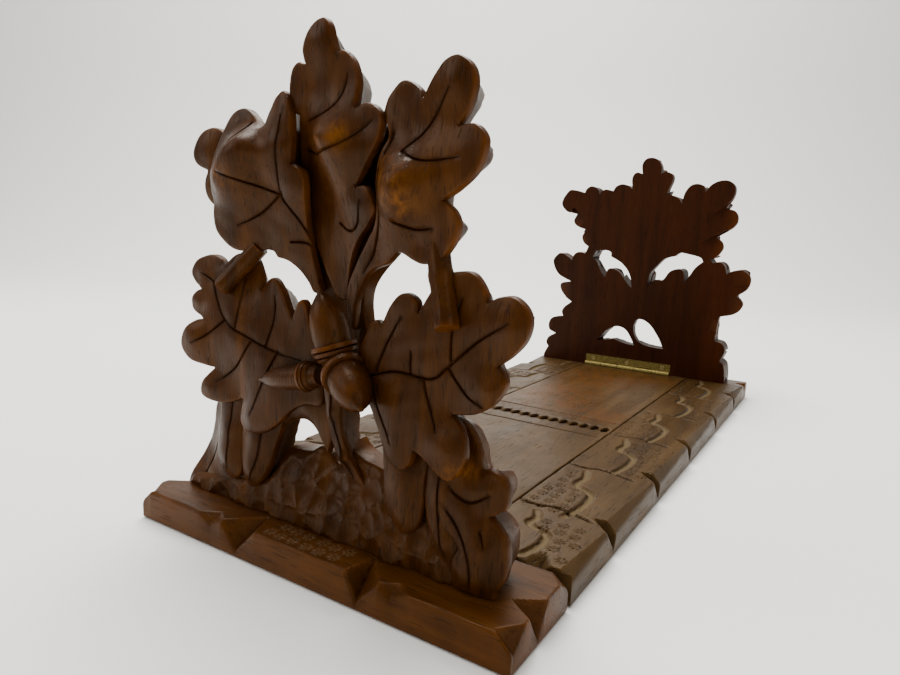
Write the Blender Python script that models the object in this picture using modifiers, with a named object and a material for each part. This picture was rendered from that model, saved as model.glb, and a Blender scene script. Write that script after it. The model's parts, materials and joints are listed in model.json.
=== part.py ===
"""Expanding book slide, used as a bible stand.

Two pierced oak-leaf end panels stand on a base of two end boards, two side rails and a centre slat.
The slat is fixed to the near end board and slides between the rails, which are fixed to the far end
board, so the stand draws out.  Each panel folds inwards on a brass butt hinge.
World axes: X across, Y along the slide (near end at -Y), Z up, origin on the floor at the centre.
"""
import math

import bmesh
import bpy
from mathutils import Matrix, Vector

MM = 0.001

# ---------------------------------------------------------------- driving dimensions
LENGTH = 412 * MM
WIDTH = 171.5 * MM
BASE_T = 12.5 * MM
PANEL_TOP = 188.5 * MM
NEAR_BOARD = 41 * MM
FAR_BOARD = 22 * MM
SLAT_HALF = 43 * MM
DRAW = 200 * MM

GAP = 0.3 * MM
SIDE_GAP = 0.8 * MM
EDGE_ROUND = 0.8 * MM

# base: places along Y, measured from the centre of the closed stand
NEAR_END = -LENGTH / 2
FAR_END = LENGTH / 2
NEAR_SEAM = NEAR_END + NEAR_BOARD
FAR_SEAM = FAR_END - FAR_BOARD
RAIL_NEAR = NEAR_SEAM + 3 * MM
SLAT_FOOT = 8 * MM
SEAM_PLAY = 2 * MM
OVERCUT = 1 * MM
RAIL_INNER = SLAT_HALF + SIDE_GAP
SLAT_BOTTOM = 3 * MM
TONGUE_LOW, TONGUE_HIGH, TONGUE_OUT = 6.5 * MM, 9.9 * MM, 4 * MM
TENON_LOW, TENON_HIGH = 3 * MM, 6.5 * MM
SLAT_TENON, SLAT_TENON_HALF = 22 * MM, SLAT_HALF - 3 * MM
RAIL_TENON = 14 * MM
RAIL_TENON_IN, RAIL_TENON_OUT = 49 * MM, 80 * MM
TENON_ROOT = 4 * MM

# chip-cut notches along the edges: half opening, reach over the top, height of the lowest point
RAIL_NOTCH_Y = [y * MM for y in (-118, -54, 11, 83.5, 151)]
END_NOTCH_X = 29 * MM
NOTCH_HALF, NOTCH_REACH, NOTCH_LOW = 6.5 * MM, 9 * MM, 2.5 * MM
END_NOTCH_HALF, END_NOTCH_REACH = 5 * MM, 7 * MM
SIDE_NOTCH_IN, SIDE_NOTCH_HALF = 20 * MM, 5.5 * MM
NOTCH_CUTTER = 60 * MM

# strap under the rails' free ends, and the stop screw that meets it at full draw
STRAP_WIDTH, STRAP_T = 16 * MM, 2 * MM
STRAP_Y = RAIL_NEAR + 18 * MM
STRAP_HALF = 72 * MM
STOP_HEAD_R, STOP_HEAD_H, STOP_PROUD = 3 * MM, 1.7 * MM, 2 * MM
STOP_SHANK_R, STOP_LONG = 1.5 * MM, 8 * MM
STOP_Y = STRAP_Y + STRAP_WIDTH / 2 + DRAW + STOP_HEAD_R + 0.6 * MM

# carved panels: thickness from the flat inner face
PLATE_T = 12 * MM
BLADE_T = 17 * MM
GROUND_T, GROUND_TOP = 20 * MM, 30 * MM
GROUND_LEFT, GROUND_RIGHT, GROUND_ROUND = -66 * MM, 62 * MM, 3 * MM
GROUND_ROOT = 5 * MM
CARVING_T = 13 * MM
NEAR_FACE = NEAR_END + 32.5 * MM
FAR_FACE = FAR_SEAM
PANEL_BOTTOM = BASE_T + GAP
FOOT_LOW = PANEL_BOTTOM - 4 * MM

# butt hinge: knuckle radius, axis in front of the panel face and above the base, leaf
HINGE_X, HINGE_HALF = -6 * MM, 36 * MM
KNUCKLE_R, PIN_R, PIN_HOLE_R = 2.1 * MM, 0.9 * MM, 1.2 * MM
KNUCKLE_ROOM = KNUCKLE_R + GAP
LEAF_ROOT = -0.6 * MM
AXIS_PROUD = 0.8 * MM
LEAF_T, LEAF_H = 1.2 * MM, 8 * MM
KNUCKLES = 5
HINGE_SCREW_X = [x * MM for x in (-29.5, 0, 29.5)]
HINGE_SCREW_OUT = 4.9 * MM
AXIS_Z = BASE_T + AXIS_PROUD
SEAT_OPEN = 5 * MM

# screws: head radius, head height, shank radius and length under the head
HINGE_SCREW = (2.0 * MM, 1.1 * MM, 0.9 * MM, 5.2 * MM)
BOARD_SCREW = (2.8 * MM, 1.5 * MM, 1.4 * MM, 6 * MM)
STRAP_SCREW = (2.8 * MM, 1.5 * MM, 1.4 * MM, 8.5 * MM)
SCREW_SIDES = 8
SCREW_SINK = 0.2 * MM
SLAT_SCREW_X = [x * MM for x in (-28, 0, 28)]
RAIL_SCREW_X = [x * MM for x in (56, 73)]
STRAP_SCREW_X = [x * MM for x in (52, 69)]
RAIL_SCREW_IN = 8 * MM

# ---------------------------------------------------------------- panel outlines
# Outlines are seen from the near end, in millimetres from the panel's centre line and the floor.
# Each row is one rounded lobe; its first point is the sharp notch that the lobe springs from.
NEAR_OUTLINE = [
    [(-77, 10)], [(-77, 14), (-74, 25), (-71, 36), (-70, 46)],
    [(-59, 51.5), (-64, 53), (-65.5, 58), (-62, 63)],
    [(-57.5, 65), (-71, 67), (-77, 74.5), (-72, 82)],
    [(-64.5, 83.7), (-73, 86), (-74.5, 90.5), (-71, 95)],
    [(-68, 96), (-76, 97), (-78.7, 102.5), (-73, 108), (-65, 109)],
    [(-60.5, 104.5), (-55.5, 108.5)],
    [(-47.5, 113.5), (-53, 117), (-55, 122)],
    [(-57, 128.4), (-63.5, 131), (-65.5, 136)],
    [(-65.6, 142), (-73, 145), (-74.5, 151), (-70, 157.5), (-63, 159.5)],
    [(-55, 156.5), (-52, 162), (-46.5, 163.6), (-40, 161.5)],
    [(-32.5, 155.6), (-27, 164), (-19, 168), (-15.5, 166)],
    [(-14.5, 163.5), (-15, 170), (-12.5, 174)],
    [(-8, 174.5), (-9, 181), (-6, 186.5), (-1, 188.5), (4, 186), (7, 180)],
    [(7.5, 175.5), (11, 176), (15, 172), (15, 166)],
    [(11, 158.5), (18, 160.5), (23, 158.5)],
    [(24.5, 156), (25, 161), (28, 165.5), (33, 167), (38, 165)],
    [(39.6, 161.9), (43, 168), (51, 172.5), (58, 170), (60.5, 163), (58, 156)],
    [(53, 153.4), (59.6, 153), (63, 146.4), (58, 138.6)],
    [(48.3, 132), (55, 128), (55.5, 120)],
    [(54, 113), (58, 111.5), (63, 107)],
    [(64.7, 102.6), (70.7, 105.2), (77, 103), (79.6, 98.6), (77, 91)],
    [(70.3, 85.5), (74, 81), (73, 76), (64.7, 69)],
    [(54.8, 68), (60, 66), (61.7, 60), (60, 54)],
    [(59.5, 50), (68, 53), (73, 48), (71, 42)],
    [(67.5, 39.3), (73, 35), (74.5, 28), (73, 20)],
    [(68, 10)],
]
NEAR_WINDOWS = [
    [[(-44, 111.5), (-42, 105)], [(-40.5, 98), (-37, 101.5), (-33, 101.5), (-28, 95)],
     [(-24.5, 91), (-21, 94.5), (-17, 95.5)], [(-13, 100), (-17, 104.5), (-22, 107.5), (-29, 108.8)],
     [(-34, 112.5)]],
    [[(5.5, 83), (6, 92), (9, 101), (14, 107), (20, 111)], [(23.5, 115), (29, 112.5)],
     [(34, 111.5), (35.5, 105)], [(38, 101)], [(34, 97), (31, 101), (26, 101.5), (21, 97)],
     [(17, 91), (13, 91), (9, 87.5)]],
    [[(-28, 36), (-25, 44), (-18, 50), (-12, 52), (-7, 50)], [(-3, 44), (-1, 39)],
     [(0, 36.5), (-8, 40), (-18, 37.5)]],
    [[(3, 58), (10, 59.5), (16, 56), (20, 49)], [(21.5, 40.5), (14, 42), (7, 46)]],
]
FAR_OUTLINE = [
    [(-82.5, 10)], [(-82, 16), (-79, 22)],
    [(-78.3, 23), (-80.4, 26.4), (-78.7, 31.4)],
    [(-72.1, 35.7), (-78.3, 38.6), (-79, 45), (-75.4, 49.7)],
    [(-66.1, 51.7), (-67.6, 55.7), (-65.4, 60)],
    [(-59.3, 65), (-67.6, 70.7), (-71.6, 76.4), (-70.4, 80.7)],
    [(-61.1, 82.6), (-73.3, 88.6), (-78.7, 98.6), (-76, 104.6), (-71, 106.7)],
    [(-61.6, 101.4), (-59.7, 106.4), (-55.4, 108.6)],
    [(-50, 107.4)], [(-47.6, 113.6), (-52.6, 117), (-54.7, 122)],
    [(-51.6, 128), (-59.7, 130.7), (-63.3, 135)],
    [(-61, 140.7), (-69.7, 143), (-74.4, 150), (-69, 159.7), (-63.3, 160.7)],
    [(-54.4, 158.3), (-52.6, 162), (-48.3, 164), (-43.3, 161.7)],
    [(-41, 157), (-39, 160), (-35.7, 161.4)],
    [(-29.7, 160), (-27.6, 163.6), (-22.6, 165.7), (-17, 164.3)],
    [(-13.7, 161.7), (-14.7, 169.3), (-13.3, 173.6), (-10.4, 175)],
    [(-6.4, 173.6), (-7.3, 180.7), (-4.7, 185.3), (0.3, 186.4), (5.3, 184.3), (8.4, 178.6)],
    [(8, 173.6), (11.7, 175.4), (16.7, 173.6), (17.9, 169.3), (15.3, 161.4)],
    [(13.6, 157.4), (17.4, 157.4), (24, 154.6)],
    [(26.4, 150), (28, 158.6), (31.7, 164.3), (36.7, 166), (41.7, 164.3)],
    [(43.6, 159.3), (46.7, 164.6), (52.4, 168), (59.6, 168.3), (64.6, 163.6), (64, 155.7)],
    [(59, 148), (66, 145.7), (68.6, 140), (66, 133.6)],
    [(54.6, 125.7), (59, 122), (60, 117), (56, 110.7)],
    [(51.7, 109)], [(54.3, 105.7), (59, 107), (63, 104.3)],
    [(65, 98), (70.3, 101), (76.7, 101.4), (82, 96.4), (81, 88)],
    [(74, 81.7), (77.4, 78.6), (78.6, 74.3), (74, 68)],
    [(63.3, 64.7), (62, 55)],
    [(61.7, 45.3), (67.4, 43.6), (70, 38)],
    [(67, 30), (70.3, 26.4), (71.7, 18)],
    [(71.7, 10)],
]
FAR_WINDOWS = [
    [[(-43.3, 105)], [(-40.4, 110.3), (-33.3, 111.4), (-27.6, 110)],
     [(-27, 106.4), (-17.6, 101.4), (-11, 94.3), (-8.3, 87)],
     [(-7.6, 81), (-12, 85.7), (-19, 93.6), (-25.4, 96.4), (-29, 95)],
     [(-30.7, 88.6), (-34.7, 93), (-39, 100.7)]],
    [[(47, 106.4), (44.6, 109.6), (35.3, 111.7), (29, 112.4)],
     [(25.3, 109.7), (17.4, 107), (11, 100), (6.4, 93)],
     [(5.3, 83), (11, 89.3), (17.4, 90), (22.4, 97), (29, 99.6), (33, 97)],
     [(34, 88.6), (38, 95), (41.7, 101.4)]],
    [[(-34, 33.6), (-27.6, 42), (-20.4, 47), (-14, 48), (-7.6, 44.3)], [(-1, 33.6), (-9, 34.3)],
     [(-19, 37)]],
    [[(-3, 50), (-1, 55), (4, 56), (11, 52), (18, 43)], [(23, 33.6), (11, 34.3), (2.4, 37), (-2, 43)]],
]
# raised leaf blades on the outer face, each a smooth closed curve
BLADES = [
    [(-2, 100), (-9, 130), (-12, 150), (-11, 166), (-1, 184), (9, 168), (14, 154), (12, 132), (6, 112)],
    [(-8, 104), (-25, 114), (-46, 118), (-52, 136), (-66, 150), (-46, 156), (-22, 160), (-15, 146)],
    [(10, 104), (24, 117), (44, 118), (46, 132), (56, 146), (52, 164), (33, 158), (28, 140)],
    [(-12, 70), (-32, 54), (-56, 58), (-66, 74), (-64, 98), (-50, 102), (-42, 90), (-28, 88)],
    [(16, 74), (30, 54), (50, 52), (52, 66), (68, 78), (70, 94), (58, 102), (42, 90), (28, 92)],
]
# acorns: centre, tip direction in degrees from +X towards +Z
ACORNS = [((5, 87), 100), ((-17, 68), 190), ((11, 71), -45)]
ACORN_R, ACORN_LONG = 8 * MM, 12 * MM
# cut twigs that bridge the upper and lower leaves: two ends and radius
TWIGS = [((-52, 96), (-39, 111), 3), ((49, 114), (51, 95), 3.5)]


# ---------------------------------------------------------------- scene and materials
def clear_scene():
    for ob in list(bpy.data.objects):
        bpy.data.objects.remove(ob, do_unlink=True)


def new_collection(name):
    coll = bpy.data.collections.new(name)
    bpy.context.scene.collection.children.link(coll)
    return coll


def material(name, colour, roughness, metallic):
    mat = bpy.data.materials.new(name)
    mat.use_nodes = True
    shader = mat.node_tree.nodes["Principled BSDF"]
    shader.inputs["Base Color"].default_value = (*colour, 1)
    shader.inputs["Roughness"].default_value = roughness
    shader.inputs["Metallic"].default_value = metallic
    return mat


clear_scene()
PARTS = new_collection("bible_stand")
CUTTERS = new_collection("cutters")
CARVED_WOOD = (0.11, 0.045, 0.018)
BOARD_WOOD = (0.22, 0.13, 0.075)
BRASS = (0.55, 0.40, 0.15)
STEEL = (0.30, 0.27, 0.22)


# ---------------------------------------------------------------- shape tools
def add_mesh(name, mesh, coll=PARTS):
    ob = bpy.data.objects.new(name, mesh)
    coll.objects.link(ob)
    if coll is CUTTERS:
        ob.hide_render = True
        ob.display_type = "WIRE"
    return ob


def part(ob, colour, roughness=0.45, metallic=0.0):
    ob.data.materials.clear()
    ob.data.materials.append(material(ob.name + "_finish", colour, roughness, metallic))
    return ob


def box(name, low, high, coll=PARTS):
    """An axis-aligned box between two corners, with its origin at its centre."""
    low, high = Vector(low), Vector(high)
    mesh = bpy.data.meshes.new(name)
    bm = bmesh.new()
    bmesh.ops.create_cube(bm, size=1)
    bmesh.ops.scale(bm, vec=high - low, verts=bm.verts)
    bm.to_mesh(mesh)
    bm.free()
    ob = add_mesh(name, mesh, coll)
    ob.location = (low + high) / 2
    return ob


def rod(name, radius, start, end, sides=16, coll=PARTS):
    """A round bar from start to end."""
    start, end = Vector(start), Vector(end)
    mesh = bpy.data.meshes.new(name)
    bm = bmesh.new()
    bmesh.ops.create_cone(bm, cap_ends=True, segments=sides, radius1=radius, radius2=radius,
                          depth=(end - start).length)
    bm.to_mesh(mesh)
    bm.free()
    ob = add_mesh(name, mesh, coll)
    turn = (end - start).to_track_quat("Z", "Y").to_matrix().to_4x4()
    ob.matrix_world = Matrix.Translation((start + end) / 2) @ turn
    return ob


def ball(name, size, place, turn=0.0, coll=CUTTERS):
    """An ellipsoid of three radii, turned about Y."""
    mesh = bpy.data.meshes.new(name)
    bm = bmesh.new()
    bmesh.ops.create_uvsphere(bm, u_segments=10, v_segments=6, radius=1)
    bmesh.ops.scale(bm, vec=size, verts=bm.verts)
    bm.to_mesh(mesh)
    bm.free()
    ob = add_mesh(name, mesh, coll)
    ob.matrix_world = Matrix.Translation(place) @ Matrix.Rotation(turn, 4, "Y")
    return ob


def bevel(ob, width=EDGE_ROUND):
    mod = ob.modifiers.new("edge_round", "BEVEL")
    mod.width = width
    mod.segments = 1
    mod.limit_method = "ANGLE"
    return ob


def boolean(ob, other, operation):
    mod = ob.modifiers.new(operation.lower(), "BOOLEAN")
    mod.operation = operation
    mod.object = other
    mod.solver = "EXACT"
    return ob


def cut(ob, cutter):
    return boolean(ob, cutter, "DIFFERENCE")


def join(ob, other):
    return boolean(ob, other, "UNION")


def evaluated_mesh(ob):
    """The object's shape after its modifiers, as a new mesh with its loose seams welded."""
    graph = bpy.context.evaluated_depsgraph_get()
    mesh = bpy.data.meshes.new_from_object(ob.evaluated_get(graph))
    bm = bmesh.new()
    bm.from_mesh(mesh)
    bmesh.ops.remove_doubles(bm, verts=bm.verts, dist=1e-6)
    bmesh.ops.recalc_face_normals(bm, faces=bm.faces)
    bm.to_mesh(mesh)
    bm.free()
    return mesh


def slab(name, loops, back, front, coll=PARTS, steps=2):
    """A flat outline in the XZ plane, with any holes, between two places along Y."""
    curve = bpy.data.curves.new(name, "CURVE")
    curve.dimensions = "2D"
    curve.fill_mode = "BOTH"
    curve.resolution_u = steps
    curve.extrude = abs(front - back) / 2
    for lobes in loops:
        points = [(point, index == 0) for lobe in lobes for index, point in enumerate(lobe)]
        spline = curve.splines.new("BEZIER")
        spline.bezier_points.add(len(points) - 1)
        spline.use_cyclic_u = True
        for knot, ((x, z), sharp) in zip(spline.bezier_points, points):
            knot.co = (x * MM, z * MM, 0)
            handle = "VECTOR" if sharp else "AUTO"
            knot.handle_left_type = handle
            knot.handle_right_type = handle
    drawn = bpy.data.objects.new(name + "_drawn", curve)
    coll.objects.link(drawn)
    upright = Matrix.Rotation(math.pi / 2, 4, "X")
    drawn.matrix_world = Matrix.Translation((0, (back + front) / 2, 0)) @ upright
    bpy.context.view_layer.update()
    ob = add_mesh(name, evaluated_mesh(drawn), coll)
    ob.matrix_world = drawn.matrix_world.copy()
    bpy.data.objects.remove(drawn, do_unlink=True)
    return ob


def turned_mesh(name, profile, sides, slot):
    """A profile of (radius, height) pairs, top to bottom, turned about Z; slot cuts the top."""
    mesh = bpy.data.meshes.new(name)
    edges = [(i, i + 1) for i in range(len(profile) - 1)]
    mesh.from_pydata([(r, 0, z) for r, z in profile], edges, [])
    ob = add_mesh(name, mesh, CUTTERS)
    screw = ob.modifiers.new("turn", "SCREW")
    screw.steps = sides
    screw.render_steps = sides
    screw.use_merge_vertices = True
    screw.merge_threshold = 0.00001
    screw.use_normal_calculate = True
    if slot:
        reach, depth = profile[1][0] * 1.5, profile[0][1] - slot
        cutter = box(name + "_slot", (-reach, -0.25 * MM, depth), (reach, 0.25 * MM, 2 * MM), CUTTERS)
        cut(ob, cutter)
    bpy.context.view_layer.update()
    result = evaluated_mesh(ob)
    bpy.data.objects.remove(ob, do_unlink=True)
    return result


def screw_profile(head_r, head_h, shank_r, length, grow):
    """A countersunk wood screw; grow leaves clearance all round for its hole."""
    top = grow
    return [(0, top), (head_r + grow, top), (head_r + grow, -0.3 * MM), (shank_r + grow, -head_h - grow),
            (0.6 * shank_r + grow, -length - grow), (0, -length - grow)]


class ScrewSize:
    """One size of screw, with the mesh of the screw and the mesh of the hole it needs."""

    def __init__(self, name, head_r, head_h, shank_r, length):
        size = (head_r, head_h, shank_r, length)
        self.mesh = turned_mesh(name, screw_profile(*size, 0), SCREW_SIDES, 0.5 * MM)
        self.hole = turned_mesh(name + "_hole", screw_profile(*size, GAP), SCREW_SIDES, 0)


def drive_screw(name, size, place, direction, targets, colour):
    """Place a screw with its head at place, pointing along direction, and cut its hole in the targets."""
    turn = (-Vector(direction)).to_track_quat("Z", "Y").to_matrix().to_4x4()
    where = Matrix.Translation(place) @ turn
    ob = add_mesh(name, size.mesh.copy())
    ob.matrix_world = where
    part(ob, colour, 0.35, 1.0)
    hole = add_mesh(name + "_hole", size.hole, CUTTERS)
    hole.matrix_world = where
    for target in targets:
        cut(target, hole)
    return ob


def notch(target, name, place, outward, half=NOTCH_HALF, reach=NOTCH_REACH, low=NOTCH_LOW):
    """A chip-cut V in the top outer edge of a board; outward is the unit vector out of the edge."""
    out = Vector(outward)
    along = Vector((0, 0, 1)).cross(out)
    drop = BASE_T - low
    valley = (out * reach - Vector((0, 0, drop))).normalized()
    normal = (out * drop + Vector((0, 0, reach))).normalized()
    corner = reach * drop / math.hypot(reach, drop)
    thick = 2 * corner
    mesh = bpy.data.meshes.new(name)
    bm = bmesh.new()
    bmesh.ops.create_cone(bm, cap_ends=True, segments=4, radius1=1, radius2=1, depth=1)
    bmesh.ops.scale(bm, vec=(thick, thick * half / corner, NOTCH_CUTTER), verts=bm.verts)
    bm.to_mesh(mesh)
    bm.free()
    cutter = add_mesh(name, mesh, CUTTERS)
    middle = Vector(place) - out * (reach / 2) + Vector((0, 0, (BASE_T + low) / 2))
    frame = Matrix((normal, along, valley)).transposed().to_4x4()
    if frame.determinant() < 0:
        frame = Matrix((normal, -along, valley)).transposed().to_4x4()
    cutter.matrix_world = Matrix.Translation(middle + normal * thick) @ frame
    cut(target, cutter)


# ---------------------------------------------------------------- base
def make_near_end_board():
    board = bevel(box("near_end_board", (-WIDTH / 2, NEAR_END, 0), (WIDTH / 2, NEAR_SEAM, BASE_T)))
    low = (-SLAT_TENON_HALF - GAP, NEAR_SEAM - SLAT_TENON - GAP, TENON_LOW - GAP)
    high = (SLAT_TENON_HALF + GAP, NEAR_SEAM + OVERCUT, TENON_HIGH + GAP)
    cut(board, box("slat_mortise", low, high, CUTTERS))
    for side in (-1, 1):
        corner = (side * WIDTH / 2, NEAR_END + SIDE_NOTCH_IN, 0)
        notch(board, "near_end_notch", corner, (side, 0, 0), SIDE_NOTCH_HALF)
        edge = (side * END_NOTCH_X, NEAR_END, 0)
        notch(board, "near_edge_notch", edge, (0, -1, 0), END_NOTCH_HALF, END_NOTCH_REACH)
    return part(board, BOARD_WOOD)


def make_far_end_board():
    board = bevel(box("far_end_board", (-WIDTH / 2, FAR_SEAM, 0), (WIDTH / 2, FAR_END, BASE_T)))
    for side in (-1, 1):
        x_in, x_out = sorted((side * (RAIL_TENON_IN - GAP), side * (RAIL_TENON_OUT + GAP)))
        low = (x_in, FAR_SEAM - OVERCUT, TENON_LOW - GAP)
        high = (x_out, FAR_SEAM + RAIL_TENON + GAP, TENON_HIGH + GAP)
        cut(board, box("rail_mortise", low, high, CUTTERS))
        edge = (side * END_NOTCH_X, FAR_END, 0)
        notch(board, "far_edge_notch", edge, (0, 1, 0), END_NOTCH_HALF, END_NOTCH_REACH)
    return part(board, BOARD_WOOD)


def make_centre_slat():
    low = (-SLAT_HALF, NEAR_SEAM + GAP, SLAT_BOTTOM)
    high = (SLAT_HALF, FAR_SEAM - 2 * GAP, BASE_T)
    slat = bevel(box("centre_slat", low, high))
    low = (-SLAT_HALF - TONGUE_OUT, NEAR_SEAM + SEAM_PLAY, TONGUE_LOW)
    high = (SLAT_HALF + TONGUE_OUT, FAR_SEAM - SEAM_PLAY, TONGUE_HIGH)
    join(slat, box("slat_tongues", low, high, CUTTERS))
    low = (-SLAT_TENON_HALF, NEAR_SEAM - SLAT_TENON, TENON_LOW + 0.01 * MM)
    high = (SLAT_TENON_HALF, NEAR_SEAM + SLAT_FOOT, TENON_HIGH)
    join(slat, box("slat_tenon", low, high, CUTTERS))
    return part(slat, BOARD_WOOD)


def make_rail(name, side):
    inner, outer = side * RAIL_INNER, side * WIDTH / 2
    under = side * (RAIL_INNER - 2 * MM)
    low_x, high_x = sorted((inner, outer))
    rail = bevel(box(name, (low_x, RAIL_NEAR, 0), (high_x, FAR_SEAM - GAP, BASE_T)))
    low_x, high_x = sorted((under, side * (SLAT_HALF + TONGUE_OUT + GAP)))
    cut(rail, box(name + "_groove", (low_x, RAIL_NEAR - OVERCUT, TONGUE_LOW - GAP),
                  (high_x, FAR_SEAM - OVERCUT, TONGUE_HIGH + GAP), CUTTERS))
    low_x, high_x = sorted((under, side * (STRAP_HALF + GAP)))
    cut(rail, box(name + "_strap_seat", (low_x, STRAP_Y - STRAP_WIDTH / 2 - GAP, -OVERCUT),
                  (high_x, STRAP_Y + STRAP_WIDTH / 2 + GAP, STRAP_T + 2 * GAP), CUTTERS))
    low_x, high_x = sorted((side * RAIL_TENON_IN, side * RAIL_TENON_OUT))
    join(rail, box(name + "_tenon", (low_x, FAR_SEAM - TENON_ROOT, TENON_LOW),
                   (high_x, FAR_SEAM + RAIL_TENON, TENON_HIGH), CUTTERS))
    for y in RAIL_NOTCH_Y:
        notch(rail, name + "_notch", (outer, y, 0), (side, 0, 0))
    return part(rail, BOARD_WOOD)


def make_strap():
    strap = box("rail_strap", (-STRAP_HALF, STRAP_Y - STRAP_WIDTH / 2, GAP),
                (STRAP_HALF, STRAP_Y + STRAP_WIDTH / 2, GAP + STRAP_T))
    return part(strap, BRASS, 0.4, 1.0)


# ---------------------------------------------------------------- carved panels
def make_panel(name, outline, windows, face, side):
    """A carved panel with its flat face at Y = face; side is the way its carved face looks along Y."""

    def depth(value):
        return face + side * value

    panel = slab(name, [outline] + windows, face, depth(PLATE_T))
    for index, blade in enumerate(BLADES):
        leaf = slab(f"{name}_blade_{index}", [[blade]], depth(0.6 * PLATE_T), depth(BLADE_T), CUTTERS)
        join(panel, leaf)
    low_y, high_y = sorted((depth(GROUND_ROOT), depth(GROUND_T)))
    low, high = (GROUND_LEFT, low_y, FOOT_LOW), (GROUND_RIGHT, high_y, GROUND_TOP)
    ground = box(name + "_ground", low, high, CUTTERS)
    join(panel, bevel(ground, GROUND_ROUND))
    for index, ((x, z), angle) in enumerate(ACORNS):
        tip = math.radians(angle)
        centre = Vector((x * MM, depth(CARVING_T), z * MM))
        nut = ball(f"{name}_acorn_{index}", (ACORN_LONG, ACORN_R * 0.9, ACORN_R), centre, -tip)
        join(panel, nut)
    for index, ((x1, z1), (x2, z2), radius) in enumerate(TWIGS):
        start = Vector((x1 * MM, depth(CARVING_T), z1 * MM))
        end = Vector((x2 * MM, depth(CARVING_T), z2 * MM))
        join(panel, rod(f"{name}_twig_{index}", radius * MM, start, end, 10, CUTTERS))
    low, high = (-WIDTH, face - 2 * GROUND_T, 0), (WIDTH, face + 2 * GROUND_T, PANEL_BOTTOM)
    cut(panel, box(name + "_sole", low, high, CUTTERS))
    return part(panel, CARVED_WOOD, 0.35)


# ---------------------------------------------------------------- hinges
def knuckle_spans(own):
    """The X spans of the even (own = 0) or odd (own = 1) knuckles."""
    pitch = 2 * HINGE_HALF / KNUCKLES
    spans = []
    for index in range(KNUCKLES):
        if index % 2 == own:
            start = HINGE_X - HINGE_HALF + index * pitch
            spans.append((start, start + pitch))
    return spans


def hinge_point(x, axis_y, inward, out, up):
    """A point given by its distances from the hinge axis: out towards the book space, and up."""
    return (x, axis_y + inward * out, AXIS_Z + up)


def hinge_box(name, x_span, axis_y, inward, out_span, up_span, coll):
    first = hinge_point(x_span[0], axis_y, inward, out_span[0], up_span[0])
    second = hinge_point(x_span[1], axis_y, inward, out_span[1], up_span[1])
    low = [min(pair) for pair in zip(first, second)]
    high = [max(pair) for pair in zip(first, second)]
    return box(name, low, high, coll)


LEAF_BACK, LEAF_FRONT = -(AXIS_PROUD + LEAF_T), -AXIS_PROUD
LEAF_SPANS = {
    # leaf lies up the panel, down the board's edge, or flat on the board
    "up": ((LEAF_BACK, LEAF_FRONT), (LEAF_ROOT, LEAF_H)),
    "down": ((LEAF_BACK, LEAF_FRONT), (-LEAF_H, -LEAF_ROOT)),
    "flat": ((LEAF_ROOT, LEAF_H - 0.5 * MM), (LEAF_BACK, LEAF_FRONT)),
}


def make_leaf(name, kind, own, axis_y, inward):
    """One hinge leaf: plate, its own knuckles, clearance for the other leaf's knuckles, pin hole."""
    out_span, up_span = LEAF_SPANS[kind]
    span = (HINGE_X - HINGE_HALF, HINGE_X + HINGE_HALF)
    leaf = hinge_box(name, span, axis_y, inward, out_span, up_span, PARTS)
    out_room = (-KNUCKLE_ROOM - OVERCUT, KNUCKLE_ROOM)
    up_room = out_room if kind == "flat" else (-KNUCKLE_ROOM, KNUCKLE_ROOM)
    for index, (x1, x2) in enumerate(knuckle_spans(1 - own)):
        start = x1 - GAP / 2 if x1 > span[0] + GAP else x1 - OVERCUT
        stop = x2 + GAP / 2 if x2 < span[1] - GAP else x2 + OVERCUT
        room = hinge_box(f"{name}_room_{index}", (start, stop), axis_y, inward, out_room, up_room, CUTTERS)
        cut(leaf, room)
    for index, (x1, x2) in enumerate(knuckle_spans(own)):
        start = hinge_point(x1 + 0.7 * GAP, axis_y, inward, 0, 0)
        stop = hinge_point(x2 - 0.7 * GAP, axis_y, inward, 0, 0)
        join(leaf, rod(f"{name}_knuckle_{index}", KNUCKLE_R, start, stop, 12, CUTTERS))
    start = hinge_point(span[0] - SEAT_OPEN, axis_y, inward, 0, 0)
    stop = hinge_point(span[1] + SEAT_OPEN, axis_y, inward, 0, 0)
    cut(leaf, rod(name + "_pin_hole", PIN_HOLE_R, start, stop, 8, CUTTERS))
    return part(leaf, BRASS, 0.38, 1.0)


def make_pin(name, axis_y):
    start = (HINGE_X - HINGE_HALF, axis_y, AXIS_Z)
    stop = (HINGE_X + HINGE_HALF, axis_y, AXIS_Z)
    return part(rod(name, PIN_R, start, stop, 8), BRASS, 0.35, 1.0)


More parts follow.
